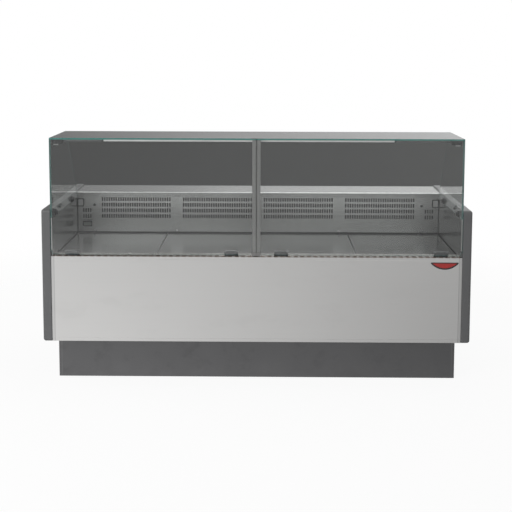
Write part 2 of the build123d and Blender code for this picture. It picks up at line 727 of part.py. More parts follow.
CONDENSER_X = UNIT_X - 110
CONDENSER_W = 290
CONDENSER_H = 260
CONDENSER_Y = 240
CONDENSER_D = 60
with BuildPart() as condenser_coil:
    with BuildSketch(Plane.YZ.offset(CONDENSER_X - CONDENSER_W / 2)):
        with Locations((CONDENSER_Y, CONDENSER_Z)):
            Rectangle(CONDENSER_D, CONDENSER_H)
    extrude(amount=FIN_T)
    condenser_fin = condenser_coil.part
    condenser_fins = int(CONDENSER_W / FIN_PITCH)
    with Locations(*[(i * FIN_PITCH, 0, 0) for i in range(1, condenser_fins + 1)]):
        add(condenser_fin)
    with BuildSketch(Plane.YZ.offset(CONDENSER_X - CONDENSER_W / 2 - 6)):
        with Locations((CONDENSER_Y, CONDENSER_Z)):
            with GridLocations(30, 42, 2, 6):
                Circle(5)
    extrude(amount=CONDENSER_W + 6)
save(condenser_coil, "condenser_coil")

SHROUD_D = 45
SHROUD_REAR = CONDENSER_Y - CONDENSER_D / 2 - GAP
SHROUD_FRONT = SHROUD_REAR - SHROUD_D
with BuildPart() as condenser_shroud:
    with Locations((CONDENSER_X, SHROUD_FRONT, CONDENSER_Z)):
        Box(CONDENSER_W, SHROUD_D, CONDENSER_H, align=(Align.CENTER, Align.MIN, Align.CENTER))
    offset(amount=-1.5, openings=condenser_shroud.faces().sort_by(Axis.Y)[-1])
    with BuildSketch(Plane.XZ.offset(-SHROUD_FRONT + 10)):
        with Locations((CONDENSER_X, CONDENSER_Z)):
            Circle(CONDENSER_FAN_R + 6.5)
    extrude(amount=-25)
    with BuildSketch(Plane.XZ.offset(-SHROUD_FRONT + 20)):
        with Locations((CONDENSER_X, CONDENSER_Z)):
            Circle(CONDENSER_FAN_R + 5)
    extrude(amount=-60, mode=Mode.SUBTRACT)
save(condenser_shroud, "condenser_shroud")

MOTOR_FRONT = SHROUD_FRONT - 90
with BuildPart() as condenser_fan_motor:
    with Locations((CONDENSER_X, MOTOR_FRONT + 30, CONDENSER_Z)):
        Cylinder(38, 60, rotation=(90, 0, 0))
    with Locations((CONDENSER_X, MOTOR_FRONT + 80, CONDENSER_Z)):
        Cylinder(SHAFT_R, 50, rotation=(90, 0, 0))
    with Locations((CONDENSER_X, MOTOR_FRONT + 30, unit_floor)):
        Box(50, 4, CONDENSER_Z - unit_floor, align=(Align.CENTER, Align.CENTER, Align.MIN))
        Box(50, 60, 4, align=(Align.CENTER, Align.CENTER, Align.MIN))
save(condenser_fan_motor, "condenser_fan_motor")

FAN_Y = SHROUD_FRONT + 5
condenser_fan = axial_fan(CONDENSER_X, FAN_Y, CONDENSER_Z, CONDENSER_FAN_R, 30, 24, 5, SHAFT_R)
save(condenser_fan, "condenser_fan")

PIPE_R = 5
BEND_R = 25
discharge = [
    (COMPRESSOR_X - 60, COMPRESSOR_Y + 60, unit_floor + 150),
    (COMPRESSOR_X - 60, COMPRESSOR_Y + 60, unit_floor + 235),
    (COMPRESSOR_X - 60, CONDENSER_Y + 60, unit_floor + 235),
    (CONDENSER_X + 80, CONDENSER_Y + 60, unit_floor + 235),
    (CONDENSER_X + 80, CONDENSER_Y + CONDENSER_D / 2 + 5, unit_floor + 235),
]
suction = [
    (COMPRESSOR_X + 20, COMPRESSOR_Y - 66, unit_floor + 120),
    (COMPRESSOR_X + 20, COMPRESSOR_Y - 130, unit_floor + 120),
    (COMPRESSOR_X + 20, COMPRESSOR_Y - 130, TUB_BOTTOM - 60),
    (COMPRESSOR_X - 260, COMPRESSOR_Y - 130, TUB_BOTTOM - 60),
]


def pipe(points):
    """A copper pipe: straight runs joined by tangent bends."""
    start = Vector(*points[0])
    with BuildPart() as run:
        with BuildLine() as path:
            FilletPolyline(*points, radius=BEND_R)
        with BuildSketch(Plane(origin=start, z_dir=Vector(*points[1]) - start)):
            Circle(PIPE_R)
        sweep(path=path.line)
    return run.part


pipe_runs = [pipe(discharge), pipe(suction)]
with BuildPart() as refrigerant_pipes:
    add(pipe_runs)
    add(compressor.part, mode=Mode.SUBTRACT)
save(refrigerant_pipes, "refrigerant_pipes")

with BuildPart() as electrical_box:
    with Locations((-640, 390, 640)):
        Box(240, 90, 160)
    fillet(electrical_box.edges().filter_by(Axis.Y), 6)
save(electrical_box, "electrical_box")

# ---- fixed glass ---------------------------------------------------------------------------------------
KNOB_Z = 856
KNOB_Y = (FRONT + 82, FRONT + 504)
BOLT_Y = FRONT + 186
BOLT_Z = 868
KNOB_STUD_R = 4.0

with BuildPart() as top_glass:
    with BuildSketch(Plane.XY.offset(HEIGHT - GLASS)):
        with Locations((0, (TOP_GLASS_REAR + FRONT + 7) / 2)):
            RectangleRounded(2 * HALF_IN, TOP_GLASS_REAR - FRONT - 7, 4)
    extrude(amount=GLASS)
    chamfer(top_glass.faces().sort_by(Axis.Z)[-1].edges(), 1)
save(top_glass, "top_glass")

for s, name in ((-1, "side_glass_left"), (1, "side_glass_right")):
    with BuildPart() as side_glass:
        with BuildSketch(Plane.YZ.offset(s * (HALF_FIT - GLASS))):
            with BuildLine():
                Polyline(
                    (FRONT + 7, SIDE_GLASS_BOTTOM),
                    (SIDE_GLASS_REAR, SIDE_GLASS_BOTTOM),
                    (SIDE_GLASS_REAR, WORKTOP_TOP + 8),
                    (TOP_GLASS_REAR, HEIGHT - GLASS - GAP),
                    (FRONT + 7, HEIGHT - GLASS - GAP),
                    close=True,
                )
            make_face()
            with Locations(*[(y, KNOB_Z) for y in KNOB_Y], (BOLT_Y, BOLT_Z)):
                Circle(KNOB_STUD_R + GAP, mode=Mode.SUBTRACT)
        extrude(amount=s * GLASS)
        chamfer(side_glass.faces().sort_by(Axis.X)[0 if s > 0 else -1].outer_wire().edges(), 0.8)
    save(side_glass, name)

with BuildPart() as glass_knobs:
    for s in (-1, 1):
        face_x = s * (HALF_FIT - GLASS - GAP)
        with BuildSketch(Plane.YZ.offset(face_x)):
            with Locations(*[(y, KNOB_Z) for y in KNOB_Y]):
                Circle(16)
            with Locations((BOLT_Y, BOLT_Z)):
                Circle(6)
        extrude(amount=-s * 8)
        with BuildSketch(Plane.YZ.offset(face_x)):
            with Locations(*[(y, KNOB_Z) for y in KNOB_Y]):
                Circle(11)
        extrude(amount=-s * 15)
        with BuildSketch(Plane.YZ.offset(face_x)):
            with Locations(*[(y, KNOB_Z) for y in KNOB_Y], (BOLT_Y, BOLT_Z)):
                Circle(KNOB_STUD_R)
        extrude(amount=s * (GLASS + GAP))
    rims = glass_knobs.edges().filter_by(GeomType.CIRCLE).filter_by(lambda e: e.radius > 10)
    fillet(rims.group_by(Axis.X)[0] + rims.group_by(Axis.X)[-1], 2)
save(glass_knobs, "glass_knobs")

# ---- tip-down front panes --------------------------------------------------------------------------------
PANE_BOTTOM = SILL_TOP + 10
PANE_JOINT = 1.0
POST_NOTCH = 21.5  # lower corners are cut away, so that a tipping pane clears the post and end liners
END_NOTCH = 9
NOTCH_H = 12
BLOCK_W = 51
BLOCK_H = 21
BLOCK_FRONT = FRONT + PANE + GAP
BLOCK_REAR = PIVOT_Y + 8
LUG_R = 7.5
LUG_T = 8
LUG_X = BLOCK_W / 2 + GAP + LUG_T / 2
BASE_FRONT = PIVOT_Y + 10.5
BASE_REAR = BASE_FRONT + 15

for s, side_name in ((-1, "left"), (1, "right")):
    hinges = [x for x in HINGE_X if x * s > 0]
    with BuildPart() as front_glass:
        with Locations((s * (PANE_JOINT + HALF_FIT) / 2, FRONT + PANE / 2, (PANE_BOTTOM + HEIGHT) / 2)):
            Box(HALF_FIT - PANE_JOINT, PANE, HEIGHT - PANE_BOTTOM)
        for corner_x, notch in ((PANE_JOINT, POST_NOTCH), (HALF_FIT, END_NOTCH)):
            with Locations((s * corner_x, FRONT + PANE / 2, PANE_BOTTOM)):
                Box(2 * notch, 2 * PANE, 2 * NOTCH_H, mode=Mode.SUBTRACT)
        chamfer(front_glass.faces().sort_by(Axis.Y)[0].edges(), 0.8)
    save(front_glass, f"front_glass_{side_name}")

    with BuildPart() as pane_clamps:
        with Locations(*[(x, (BLOCK_FRONT + BLOCK_REAR) / 2, PIVOT_Z) for x in hinges]):
            Box(BLOCK_W, BLOCK_REAR - BLOCK_FRONT, BLOCK_H)
        fillet(pane_clamps.faces().group_by(Axis.Y)[-1].edges().filter_by(Axis.X), 4)
        with Locations(*[(x, PIVOT_Y, PIVOT_Z) for x in hinges]):
            Cylinder(PIN_R + RUNNING, 2 * BLOCK_W, rotation=(0, 90, 0), mode=Mode.SUBTRACT)
    save(pane_clamps, f"pane_clamps_{side_name}")

with BuildPart() as hinge_brackets:
    for x in HINGE_X:
        for s in (-1, 1):
            with BuildSketch(Plane.YZ.offset(x + s * LUG_X - LUG_T / 2)):
                with Locations((PIVOT_Y, PIVOT_Z)):
                    Circle(LUG_R)
                with Locations((PIVOT_Y + 9, PIVOT_Z)):
                    Rectangle(18, 2 * LUG_R)
                with Locations((BASE_FRONT + 4, (SILL_TOP + GAP + PIVOT_Z) / 2)):
                    Rectangle(8, PIVOT_Z - SILL_TOP - GAP)
            extrude(amount=LUG_T)
        with Locations((x, BASE_FRONT, SILL_TOP + GAP)):
            Box(
                2 * LUG_X + LUG_T,
                BASE_REAR - BASE_FRONT,
                3,
                align=(Align.CENTER, Align.MIN, Align.MIN),
            )
    with Locations(*[(x, PIVOT_Y, PIVOT_Z) for x in HINGE_X]):
        Cylinder(PIN_R + 0.02, 4 * BLOCK_W, rotation=(0, 90, 0), mode=Mode.SUBTRACT)
save(hinge_brackets, "hinge_brackets")

with BuildPart() as hinge_pins:
    with Locations(*[(x, PIVOT_Y, PIVOT_Z) for x in HINGE_X]):
        Cylinder(PIN_R, 2 * LUG_X + LUG_T, rotation=(0, 90, 0))
    chamfer(hinge_pins.edges().filter_by(GeomType.CIRCLE), 0.6)
save(hinge_pins, "hinge_pins")

# ---- post, catches and light bar ---------------------------------------------------------------------------
POST_W = 40
POST_FRONT = FRONT + 10
POST_D = 20
CEILING = HEIGHT - GLASS - GAP
with BuildPart() as centre_post:
    with BuildSketch(Plane.XY.offset(SILL_TOP + GAP)):
        with Locations((0, POST_FRONT + POST_D / 2)):
            RectangleRounded(POST_W, POST_D, 2.5)
            Rectangle(POST_W - 4, POST_D - 4, mode=Mode.SUBTRACT)
        with Locations((0, POST_FRONT)):
            Rectangle(2, 2, mode=Mode.SUBTRACT)
    extrude(amount=CEILING - SILL_TOP - GAP)
save(centre_post, "centre_post")

CATCH_X = 962
with BuildPart() as corner_latches:
    for s in (-1, 1):
        with Locations((s * CATCH_X, BLOCK_FRONT + 9, CEILING - 10)):
            Box(52, 18, 20)
    fillet(corner_latches.edges().filter_by(Axis.Y), 2)
    fillet(corner_latches.faces().group_by(Axis.Z)[0].edges().filter_by(Axis.X), 1.5)
    with Locations((0, POST_FRONT + POST_D / 2, CEILING - 9)):
        Box(POST_W - 4.6, POST_D - 4.6, 18)
save(corner_latches, "corner_latches")

BAR_Y = POST_FRONT + POST_D + 12
BAR_D = 20
BAR_H = 12
with BuildPart() as light_bar:
    with BuildSketch(Plane.YZ.offset(-(HALF_FIT - GLASS - GAP))):
        with Locations((BAR_Y, CEILING - BAR_H / 2)):
            RectangleRounded(BAR_D, BAR_H, 2)
    extrude(amount=2 * (HALF_FIT - GLASS - GAP))
save(light_bar, "light_bar")
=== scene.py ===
"""Looks of the refrigerated deli case: finishes for the CAD pieces, and small fittings modelled over them."""

import math

import bmesh
import bpy
from mathutils import Matrix, Vector


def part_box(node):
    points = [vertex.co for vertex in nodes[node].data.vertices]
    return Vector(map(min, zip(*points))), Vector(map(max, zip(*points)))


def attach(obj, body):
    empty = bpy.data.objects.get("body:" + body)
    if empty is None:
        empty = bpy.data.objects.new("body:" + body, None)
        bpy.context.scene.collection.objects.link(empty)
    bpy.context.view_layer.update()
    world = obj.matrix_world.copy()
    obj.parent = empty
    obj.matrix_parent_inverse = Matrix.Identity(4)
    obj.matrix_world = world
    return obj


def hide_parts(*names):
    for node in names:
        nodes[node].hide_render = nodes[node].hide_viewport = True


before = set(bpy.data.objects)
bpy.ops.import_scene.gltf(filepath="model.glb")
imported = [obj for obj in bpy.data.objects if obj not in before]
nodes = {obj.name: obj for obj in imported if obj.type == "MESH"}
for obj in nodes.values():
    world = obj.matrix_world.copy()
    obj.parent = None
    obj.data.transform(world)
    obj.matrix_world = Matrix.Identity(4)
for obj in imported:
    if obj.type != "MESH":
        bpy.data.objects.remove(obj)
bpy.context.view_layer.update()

# ---- base frame, feet and tub --------------------------------------------------------------------
# Welded square tube in matt black, zinc-plated feet, and a galvanised tub filled with foam. None of it
# shows from the customer's side. It is seen through the plinth gap, or once a tray is lifted out.


def node(tree, kind, inputs=None, **settings):
    """A node with its settings made, and each input either linked or given a constant."""
    made = tree.nodes.new(kind)
    for name, value in settings.items():
        setattr(made, name, value)
    for key, value in (inputs or {}).items():
        if isinstance(value, bpy.types.NodeSocket):
            tree.links.new(value, made.inputs[key])
        else:
            made.inputs[key].default_value = value
    return made


def maths(tree, operation, a, b=0.0, clamp=False):
    """One step of arithmetic."""
    return node(tree, "ShaderNodeMath", {0: a, 1: b}, operation=operation, use_clamp=clamp).outputs[0]


def times(tree, a, b):
    """a multiplied by b."""
    return maths(tree, "MULTIPLY", a, b)


def plus(tree, a, b):
    """b added to a."""
    return maths(tree, "ADD", a, b)


def minus(tree, a, b):
    """b taken from a."""
    return maths(tree, "SUBTRACT", a, b)


def ramp(tree, value, low, high, to_low=0.0, to_high=1.0):
    """A smooth step of value from low to high."""
    inputs = {"Value": value, "From Min": low, "From Max": high, "To Min": to_low, "To Max": to_high}
    return node(tree, "ShaderNodeMapRange", inputs, interpolation_type="SMOOTHSTEP").outputs[0]


def object_place(tree):
    """The place of a point of the surface, in metres."""
    return node(tree, "ShaderNodeTexCoord").outputs["Object"]


def split(tree, vector):
    """The three parts of a vector."""
    return node(tree, "ShaderNodeSeparateXYZ", {0: vector}).outputs


def noise(tree, place, scale, detail=3.0, rough=0.5, stretch=(1.0, 1.0, 1.0)):
    """Noise over a place vector that is stretched first."""
    spread = node(tree, "ShaderNodeVectorMath", {0: place, 1: stretch}, operation="MULTIPLY").outputs[0]
    inputs = {"Vector": spread, "Scale": scale, "Detail": detail, "Roughness": rough}
    return node(tree, "ShaderNodeTexNoise", inputs).outputs[0]


def new_group(name, inputs, outputs):
    """An empty shader group with its sockets, and the nodes that stand for them."""
    tree = bpy.data.node_groups.new(name, "ShaderNodeTree")
    for title, kind, value in inputs:
        tree.interface.new_socket(title, in_out="INPUT", socket_type=kind).default_value = value
    for title, kind in outputs:
        tree.interface.new_socket(title, in_out="OUTPUT", socket_type=kind)
    return tree, tree.nodes.new("NodeGroupInput").outputs, tree.nodes.new("NodeGroupOutput").inputs


def use_group(tree, group, **inputs):
    """The outputs of a shader group used in a material. An underscore in a name stands for a space."""
    made = node(tree, "ShaderNodeGroup", node_tree=group)
    for key, value in inputs.items():
        socket = made.inputs[key.replace("_", " ")]
        if isinstance(value, bpy.types.NodeSocket):
            tree.links.new(value, socket)
        else:
            socket.default_value = value
    return made.outputs


# Sheet metal: drawn grain along one axis, slow cloudiness from rolling, wiped smudges, and soft folds.
metal_sheet, given, out = new_group(
    "metal_sheet",
    [
        ("Stretch", "NodeSocketVector", (2.0, 260.0, 260.0)),
        ("Grain", "NodeSocketFloat", 0.10),
        ("Cloud", "NodeSocketFloat", 0.08),
        ("Roughness", "NodeSocketFloat", 0.28),
        ("Fold", "NodeSocketFloat", 0.001),
    ],
    [("Tone", "NodeSocketFloat"), ("Roughness", "NodeSocketFloat"), ("Normal", "NodeSocketVector")],
)
place = object_place(metal_sheet)
fine = noise(metal_sheet, place, 1.0, 4.0, 0.7, stretch=given["Stretch"])
bands = noise(metal_sheet, place, 0.09, 2.0, stretch=given["Stretch"])
cloud = noise(metal_sheet, place, 2.2, 4.0, stretch=(0.7, 1.5, 1.5))
wiped = noise(metal_sheet, place, 5.5, 5.0, 0.6, stretch=(1.0, 1.0, 2.2))
smudge = ramp(metal_sheet, wiped, 0.52, 0.74)
lines = plus(metal_sheet, times(metal_sheet, fine, 0.6), times(metal_sheet, bands, 0.4))
grain = times(metal_sheet, minus(metal_sheet, lines, 0.5), given["Grain"])
drift = times(metal_sheet, minus(metal_sheet, cloud, 0.5), given["Cloud"])
tone = plus(metal_sheet, plus(metal_sheet, grain, drift), 1.0)
tone = minus(metal_sheet, tone, times(metal_sheet, smudge, 0.02))
uneven = plus(metal_sheet, times(metal_sheet, grain, 0.5), times(metal_sheet, smudge, 0.03))
folds = node(metal_sheet, "ShaderNodeBevel", {"Radius": given["Fold"]}, samples=3).outputs[0]
relief = times(metal_sheet, given["Grain"], 0.4)
bump = {"Strength": relief, "Distance": 0.0001, "Height": lines, "Normal": folds}
metal_sheet.links.new(tone, out["Tone"])
metal_sheet.links.new(plus(metal_sheet, given["Roughness"], uneven), out["Roughness"])
metal_sheet.links.new(node(metal_sheet, "ShaderNodeBump", bump).outputs[0], out["Normal"])

# Paint, moulded plastic and castings: a fine orange peel, slow unevenness, worn edges, and soft corners.
coated, given, out = new_group(
    "coated",
    [
        ("Scale", "NodeSocketFloat", 700.0),
        ("Relief", "NodeSocketFloat", 0.2),
        ("Roughness", "NodeSocketFloat", 0.45),
        ("Corner", "NodeSocketFloat", 0.0015),
    ],
    [
        ("Tone", "NodeSocketFloat"),
        ("Roughness", "NodeSocketFloat"),
        ("Edge", "NodeSocketFloat"),
        ("Normal", "NodeSocketVector"),
    ],
)
place = object_place(coated)
peel = noise(coated, place, given["Scale"], 3.0, 0.6)
cloud = noise(coated, place, 3.1, 4.0)
rub = ramp(coated, noise(coated, place, 14.0, 5.0, 0.65), 0.5, 0.72)
corner = node(coated, "ShaderNodeBevel", {"Radius": given["Corner"]}, samples=3).outputs[0]
flat = node(coated, "ShaderNodeNewGeometry").outputs["Normal"]
turn = node(coated, "ShaderNodeVectorMath", {0: corner, 1: flat}, operation="DOT_PRODUCT").outputs["Value"]
edge = ramp(coated, turn, 0.995, 0.86)
tone = plus(coated, times(coated, minus(coated, cloud, 0.5), 0.16), 1.0)
tone = minus(coated, tone, times(coated, rub, 0.05))
bump = {"Strength": given["Relief"], "Distance": 0.0002, "Height": peel, "Normal": corner}
coated.links.new(tone, out["Tone"])
coated.links.new(plus(coated, given["Roughness"], times(coated, rub, 0.08)), out["Roughness"])
coated.links.new(times(coated, edge, rub), out["Edge"])
coated.links.new(node(coated, "ShaderNodeBump", bump).outputs[0], out["Normal"])

# Dust: settles on what faces up, and thickens towards the floor.
dust, given, out = new_group("dust", [("Amount", "NodeSocketFloat", 0.3)], [("Dust", "NodeSocketFloat")])
place = object_place(dust)
facing = split(dust, node(dust, "ShaderNodeNewGeometry").outputs["Normal"])[2]
height = split(dust, place)[2]
near_floor = ramp(dust, height, 0.11, 0.0, 0.0, 0.7)
lying = maths(dust, "ADD", ramp(dust, facing, 0.3, 0.95), near_floor, clamp=True)
patches = ramp(dust, noise(dust, place, 9.0, 6.0, 0.7), 0.3, 0.7)
dust.links.new(times(dust, times(dust, lying, patches), given["Amount"]), out["Dust"])


def blend(tree, mask, first, second):
    """The first colour where the mask is 0, and the second where it is 1."""
    return node(tree, "ShaderNodeMix", {0: mask, 6: first, 7: second}, data_type="RGBA").outputs[2]


def tinted(tree, colour, tone, other=None, mask=0.0):
    """A colour multiplied by a tone, with another colour laid over it where the mask is 1."""
    scaled = node(tree, "ShaderNodeVectorMath", {0: colour, "Scale": tone}, operation="SCALE").outputs[0]
    return scaled if other is None else blend(tree, mask, scaled, (*other, 1.0))


def new_material(name):
    """A material with nothing in it but its output, and that output's surface socket."""
    made = bpy.data.materials.new(name)
    made.use_nodes = True
    made.node_tree.nodes.clear()
    return made, made.node_tree, node(made.node_tree, "ShaderNodeOutputMaterial").inputs["Surface"]


def principled(tree, surface, inputs):
    """A plain surface made from the inputs given."""
    tree.links.new(node(tree, "ShaderNodeBsdfPrincipled", inputs).outputs[0], surface)


dust_colour = (0.30, 0.28, 0.25)


def sheet_metal(name, colour, dusty=0.0, **look):
    """Bare or plated sheet metal."""
    made, tree, surface = new_material(name)
    grain = use_group(tree, metal_sheet, **look)
    settled = use_group(tree, dust, Amount=dusty)["Dust"]
    inputs = {
        "Base Color": tinted(tree, colour, grain["Tone"], dust_colour, settled),
        "Metallic": 1.0,
        "Roughness": plus(tree, grain["Roughness"], times(tree, settled, 0.4)),
        "Normal": grain["Normal"],
    }
    principled(tree, surface, inputs)
    return made


def coated_part(name, colour, dusty=0.0, metallic=0.0, coat=0.0, **look):
    """Painted, moulded or cast pieces, worn to a lighter shade at the corners."""
    made, tree, surface = new_material(name)
    skin = use_group(tree, coated, **look)
    settled = use_group(tree, dust, Amount=dusty)["Dust"]
    worn = tuple(min(1.0, part * 1.5) for part in colour)
    clean = tinted(tree, colour, skin["Tone"], worn, skin["Edge"])
    inputs = {
        "Base Color": blend(tree, settled, clean, (*dust_colour, 1.0)),
        "Metallic": metallic,
        "Roughness": skin["Roughness"],
        "Normal": skin["Normal"],
        "Coat Weight": coat,
        "Coat Roughness": 0.12,
    }
    principled(tree, surface, inputs)
    return made


def dress(material, *names):
    """Gives CAD pieces a material in place of the one they were packed with."""
    for name in names:
        nodes[name].data.materials.clear()
        nodes[name].data.materials.append(material)


dress(
    coated_part("frame_black", (0.025, 0.025, 0.027), dusty=0.5, Roughness=0.55, Relief=0.4), "base_frame"
)
dress(sheet_metal("zinc_feet", (0.50, 0.51, 0.53), dusty=0.4, Roughness=0.35, Grain=0.05), "levelling_feet")
zinc = sheet_metal(
    "galvanised", (0.46, 0.48, 0.50), dusty=0.25, Stretch=(26.0, 26.0, 26.0), Grain=0.35, Roughness=0.38
)
dress(zinc, "tub_outer_skin", "unit_tray", "fan_deck", "condenser_shroud")
dress(coated_part("tub_foam", (0.62, 0.52, 0.30), Scale=260.0, Relief=1.0, Roughness=0.8), "tub_insulation")
liner = sheet_metal("liner_steel", (0.48, 0.49, 0.49), Stretch=(2.0, 180.0, 180.0), Roughness=0.34)
dress(liner, "tub_liner", "tray_bearers")
dress(coated_part("drain_plastic", (0.16, 0.165, 0.17), Roughness=0.5), "drain_outlet")

# ---- plinth --------------------------------------------------------------------------------------
# A dark satin kickplate folded from one sheet, with a returned edge at each end. A painted highlight lightens
# the fold of each returned edge. It picks up scuffs low down, and its finish has a metallic sheen that fades
# from left to right with the light.


def apart(tree, value, centre):
    """How far value is from centre, on either side of it."""
    return maths(tree, "ABSOLUTE", minus(tree, value, centre))


plinth_metal, tree, surface = new_material("plinth_satin")
skin = use_group(tree, coated, Scale=900.0, Relief=0.12, Roughness=0.36, Corner=0.002)
settled = use_group(tree, dust, Amount=0.16)["Dust"]
place = object_place(tree)
axes = split(tree, place)
fold_x = 0.986
# Painted highlight: the fold of each returned edge is drawn lighter. Scuffs and dust are mixed in with it
# below.
painted_fold_line = ramp(tree, apart(tree, maths(tree, "ABSOLUTE", axes[0]), fold_x), 0.0028, 0.0008)
scuffs = ramp(tree, noise(tree, place, 7.0, 6.0, 0.75, stretch=(1.2, 1.0, 30.0)), 0.62, 0.72)
scuffs = times(tree, scuffs, ramp(tree, axes[2], 0.15, 0.01, 0.05, 0.5))
fold_highlight_scuffs_and_dust = maths(tree, "MAXIMUM", times(tree, painted_fold_line, 0.30), plus(tree, scuffs, settled), clamp=True)
inputs = {
    "Base Color": tinted(tree, (0.143, 0.143, 0.146), skin["Tone"], (0.26, 0.26, 0.26), fold_highlight_scuffs_and_dust),
    "Metallic": 0.92,
    "Roughness": plus(tree, skin["Roughness"], times(tree, scuffs, 0.2)),
    "Normal": skin["Normal"],
}
principled(tree, surface, inputs)
dress(plinth_metal, "plinth_front", "plinth_ends")

# ---- front panel and badge -----------------------------------------------------------------------
# Satin stainless, grain running along the case, with a folded border at each end that is darkened by
# painted shade. The badge is an enamel half-moon, a plain red field inside a black rim.

made, tree, surface = new_material("front_satin")
grain = use_group(
    tree, metal_sheet, Stretch=(1.4, 420.0, 420.0), Grain=0.045, Cloud=0.05, Roughness=0.33, Fold=0.0015
)
axes = split(tree, object_place(tree))
across = maths(tree, "ABSOLUTE", axes[0])
fold_x = 0.9865
# Painted shade: the fold line and a band at each end of the panel are drawn darker.
painted_fold_line = ramp(tree, apart(tree, across, fold_x), 0.0035, 0.0012)
end_shade = ramp(tree, across, 0.984, 0.999, 0.0, 0.35)
painted_border_shade = maths(tree, "ADD", times(tree, painted_fold_line, 0.5), end_shade, clamp=True)
inputs = {
    "Base Color": tinted(tree, (0.640, 0.636, 0.628), grain["Tone"], (0.36, 0.36, 0.36), painted_border_shade),
    "Metallic": 1.0,
    "Roughness": grain["Roughness"],
    "Normal": grain["Normal"],
}
principled(tree, surface, inputs)
dress(made, "front_panel")

made, tree, surface = new_material("badge_enamel")
low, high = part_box("badge")
place = object_place(tree)
axes = split(tree, place)
half_width = (high.x - low.x) / 2
straight_edge = 0.005
from_middle = maths(tree, "DIVIDE", apart(tree, axes[0], (low.x + high.x) / 2), half_width)
sweep = minus(tree, 1.0, maths(tree, "POWER", from_middle, 2.0))
lower = minus(tree, high.z - straight_edge, times(tree, sweep, high.z - low.z - straight_edge))
below_top = ramp(tree, axes[2], high.z - 0.0035, high.z - 0.0048)
above_curve = ramp(tree, minus(tree, axes[2], lower), 0.0064, 0.0080)
field = times(tree, times(tree, below_top, above_curve), ramp(tree, from_middle, 0.90, 0.86))
fired = noise(tree, place, 160.0, 3.0)
raised = node(tree, "ShaderNodeBump", {"Strength": 0.2, "Distance": 0.0004, "Height": field})
inputs = {
    "Base Color": tinted(tree, (0.012, 0.012, 0.013), 1.0, (0.42, 0.018, 0.016), field),
    "Roughness": plus(tree, 0.2, times(tree, fired, 0.12)),
    "Coat Weight": 0.6,
    "Coat Roughness": 0.08,
    "Normal": raised.outputs[0],
}
principled(tree, surface, inputs)
dress(made, "badge")

# ---- end panels ----------------------------------------------------------------------------------
# Thick foamed mouldings in graphite grey with a fine leather grain and rounded outer corners.

dress(
    coated_part(
        "end_moulding",
        (0.120, 0.121, 0.124),
        dusty=0.08,
        Scale=520.0,
        Relief=0.35,
        Roughness=0.42,
        Corner=0.003,
        coat=0.12,
    ),
    "side_panel_left",
    "side_panel_right",
)

# ---- sill, deck and end liners -------------------------------------------------------------------
# The sill carries the return-air slots and a bright rolled lip. The deck is four lift-out stainless
# trays, polished finer than the front so that they mirror the grille behind them.


def from_nearest(tree, value, pitch):
    """How far value is from the nearest whole multiple of pitch."""
    return apart(tree, maths(tree, "FLOORED_MODULO", plus(tree, value, pitch / 2), pitch), pitch / 2)


# Painted shade, in dark brown, is drawn around each return-air slot.
made, tree, surface = new_material("sill_satin")
grain = use_group(tree, metal_sheet, Stretch=(1.6, 320.0, 320.0), Roughness=0.25, Grain=0.08, Fold=0.0015)
axes = split(tree, object_place(tree))
slot_pitch = 0.032
beside_slot = ramp(tree, from_nearest(tree, axes[0], slot_pitch), 0.0112, 0.0096)
painted_slot_shade = times(tree, beside_slot, ramp(tree, axes[1], -0.4400, -0.4425))
inputs = {
    "Base Color": tinted(tree, (0.50, 0.487, 0.466), grain["Tone"], (0.15, 0.112, 0.088), painted_slot_shade),
    "Metallic": 1.0,
    "Roughness": plus(tree, grain["Roughness"], times(tree, painted_slot_shade, 0.25)),
    "Normal": grain["Normal"],
}
principled(tree, surface, inputs)
dress(made, "front_sill")

# Painted shade darkens the joint between neighbouring trays.
made, tree, surface = new_material("deck_satin")
grain = use_group(
    tree, metal_sheet, Stretch=(2.2, 520.0, 520.0), Grain=0.04, Cloud=0.10, Roughness=0.19, Fold=0.002
)
across = split(tree, object_place(tree))[0]
tray_pitch = 0.494
painted_joint_shade = ramp(tree, from_nearest(tree, across, tray_pitch), 0.0042, 0.0022, 0.0, 0.85)
inputs = {
    "Base Color": tinted(tree, (0.40, 0.40, 0.396), grain["Tone"], (0.05, 0.05, 0.05), painted_joint_shade),
    "Metallic": 1.0,
    "Roughness": plus(tree, grain["Roughness"], times(tree, painted_joint_shade, 0.3)),
    "Normal": grain["Normal"],
}
principled(tree, surface, inputs)
dress(made, "deck_tray_1", "deck_tray_2", "deck_tray_3", "deck_tray_4")

wall = sheet_metal(
    "wall_satin", (0.205, 0.206, 0.206), Stretch=(360.0, 360.0, 3.0), Roughness=0.20, Grain=0.08, Cloud=0.20
)
dress(wall, "end_liner_left", "end_liner_right")

# ---- rear air grille, thermometer and corner covers ----------------------------------------------
# Punched stainless with a duller satin, a small digital thermometer in a black frame, and two folded
# clips with dark edges in the upper corners.

grille = sheet_metal(
    "grille_satin", (0.40, 0.40, 0.396), Stretch=(2.0, 620.0, 620.0), Roughness=0.24, Grain=0.05, Cloud=0.12
)
dress(grille, "rear_air_grille")
black_plastic = coated_part(
    "black_plastic", (0.016, 0.016, 0.017), Scale=1100.0, Relief=0.25, Roughness=0.38, Corner=0.0008
)
dress(black_plastic, "thermometer_frame")

made, tree, surface = new_material("corner_clip")
skin = use_group(tree, coated, Scale=900.0, Relief=0.2, Roughness=0.35, Corner=0.001)
low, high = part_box("corner_covers")
clip_x = high.x - 0.0185
axes = split(tree, object_place(tree))
side_on = apart(tree, maths(tree, "ABSOLUTE", axes[0]), clip_x)
up_on = apart(tree, axes[2], (low.z + high.z) / 2)
dark_edge = maths(tree, "MAXIMUM", ramp(tree, side_on, 0.0125, 0.0135), ramp(tree, up_on, 0.0165, 0.0175))
inputs = {
    "Base Color": tinted(tree, (0.42, 0.42, 0.42), skin["Tone"], (0.020, 0.020, 0.021), dark_edge),
    "Metallic": minus(tree, 1.0, dark_edge),
    "Roughness": skin["Roughness"],
    "Normal": skin["Normal"],
}
principled(tree, surface, inputs)
dress(made, "corner_covers")

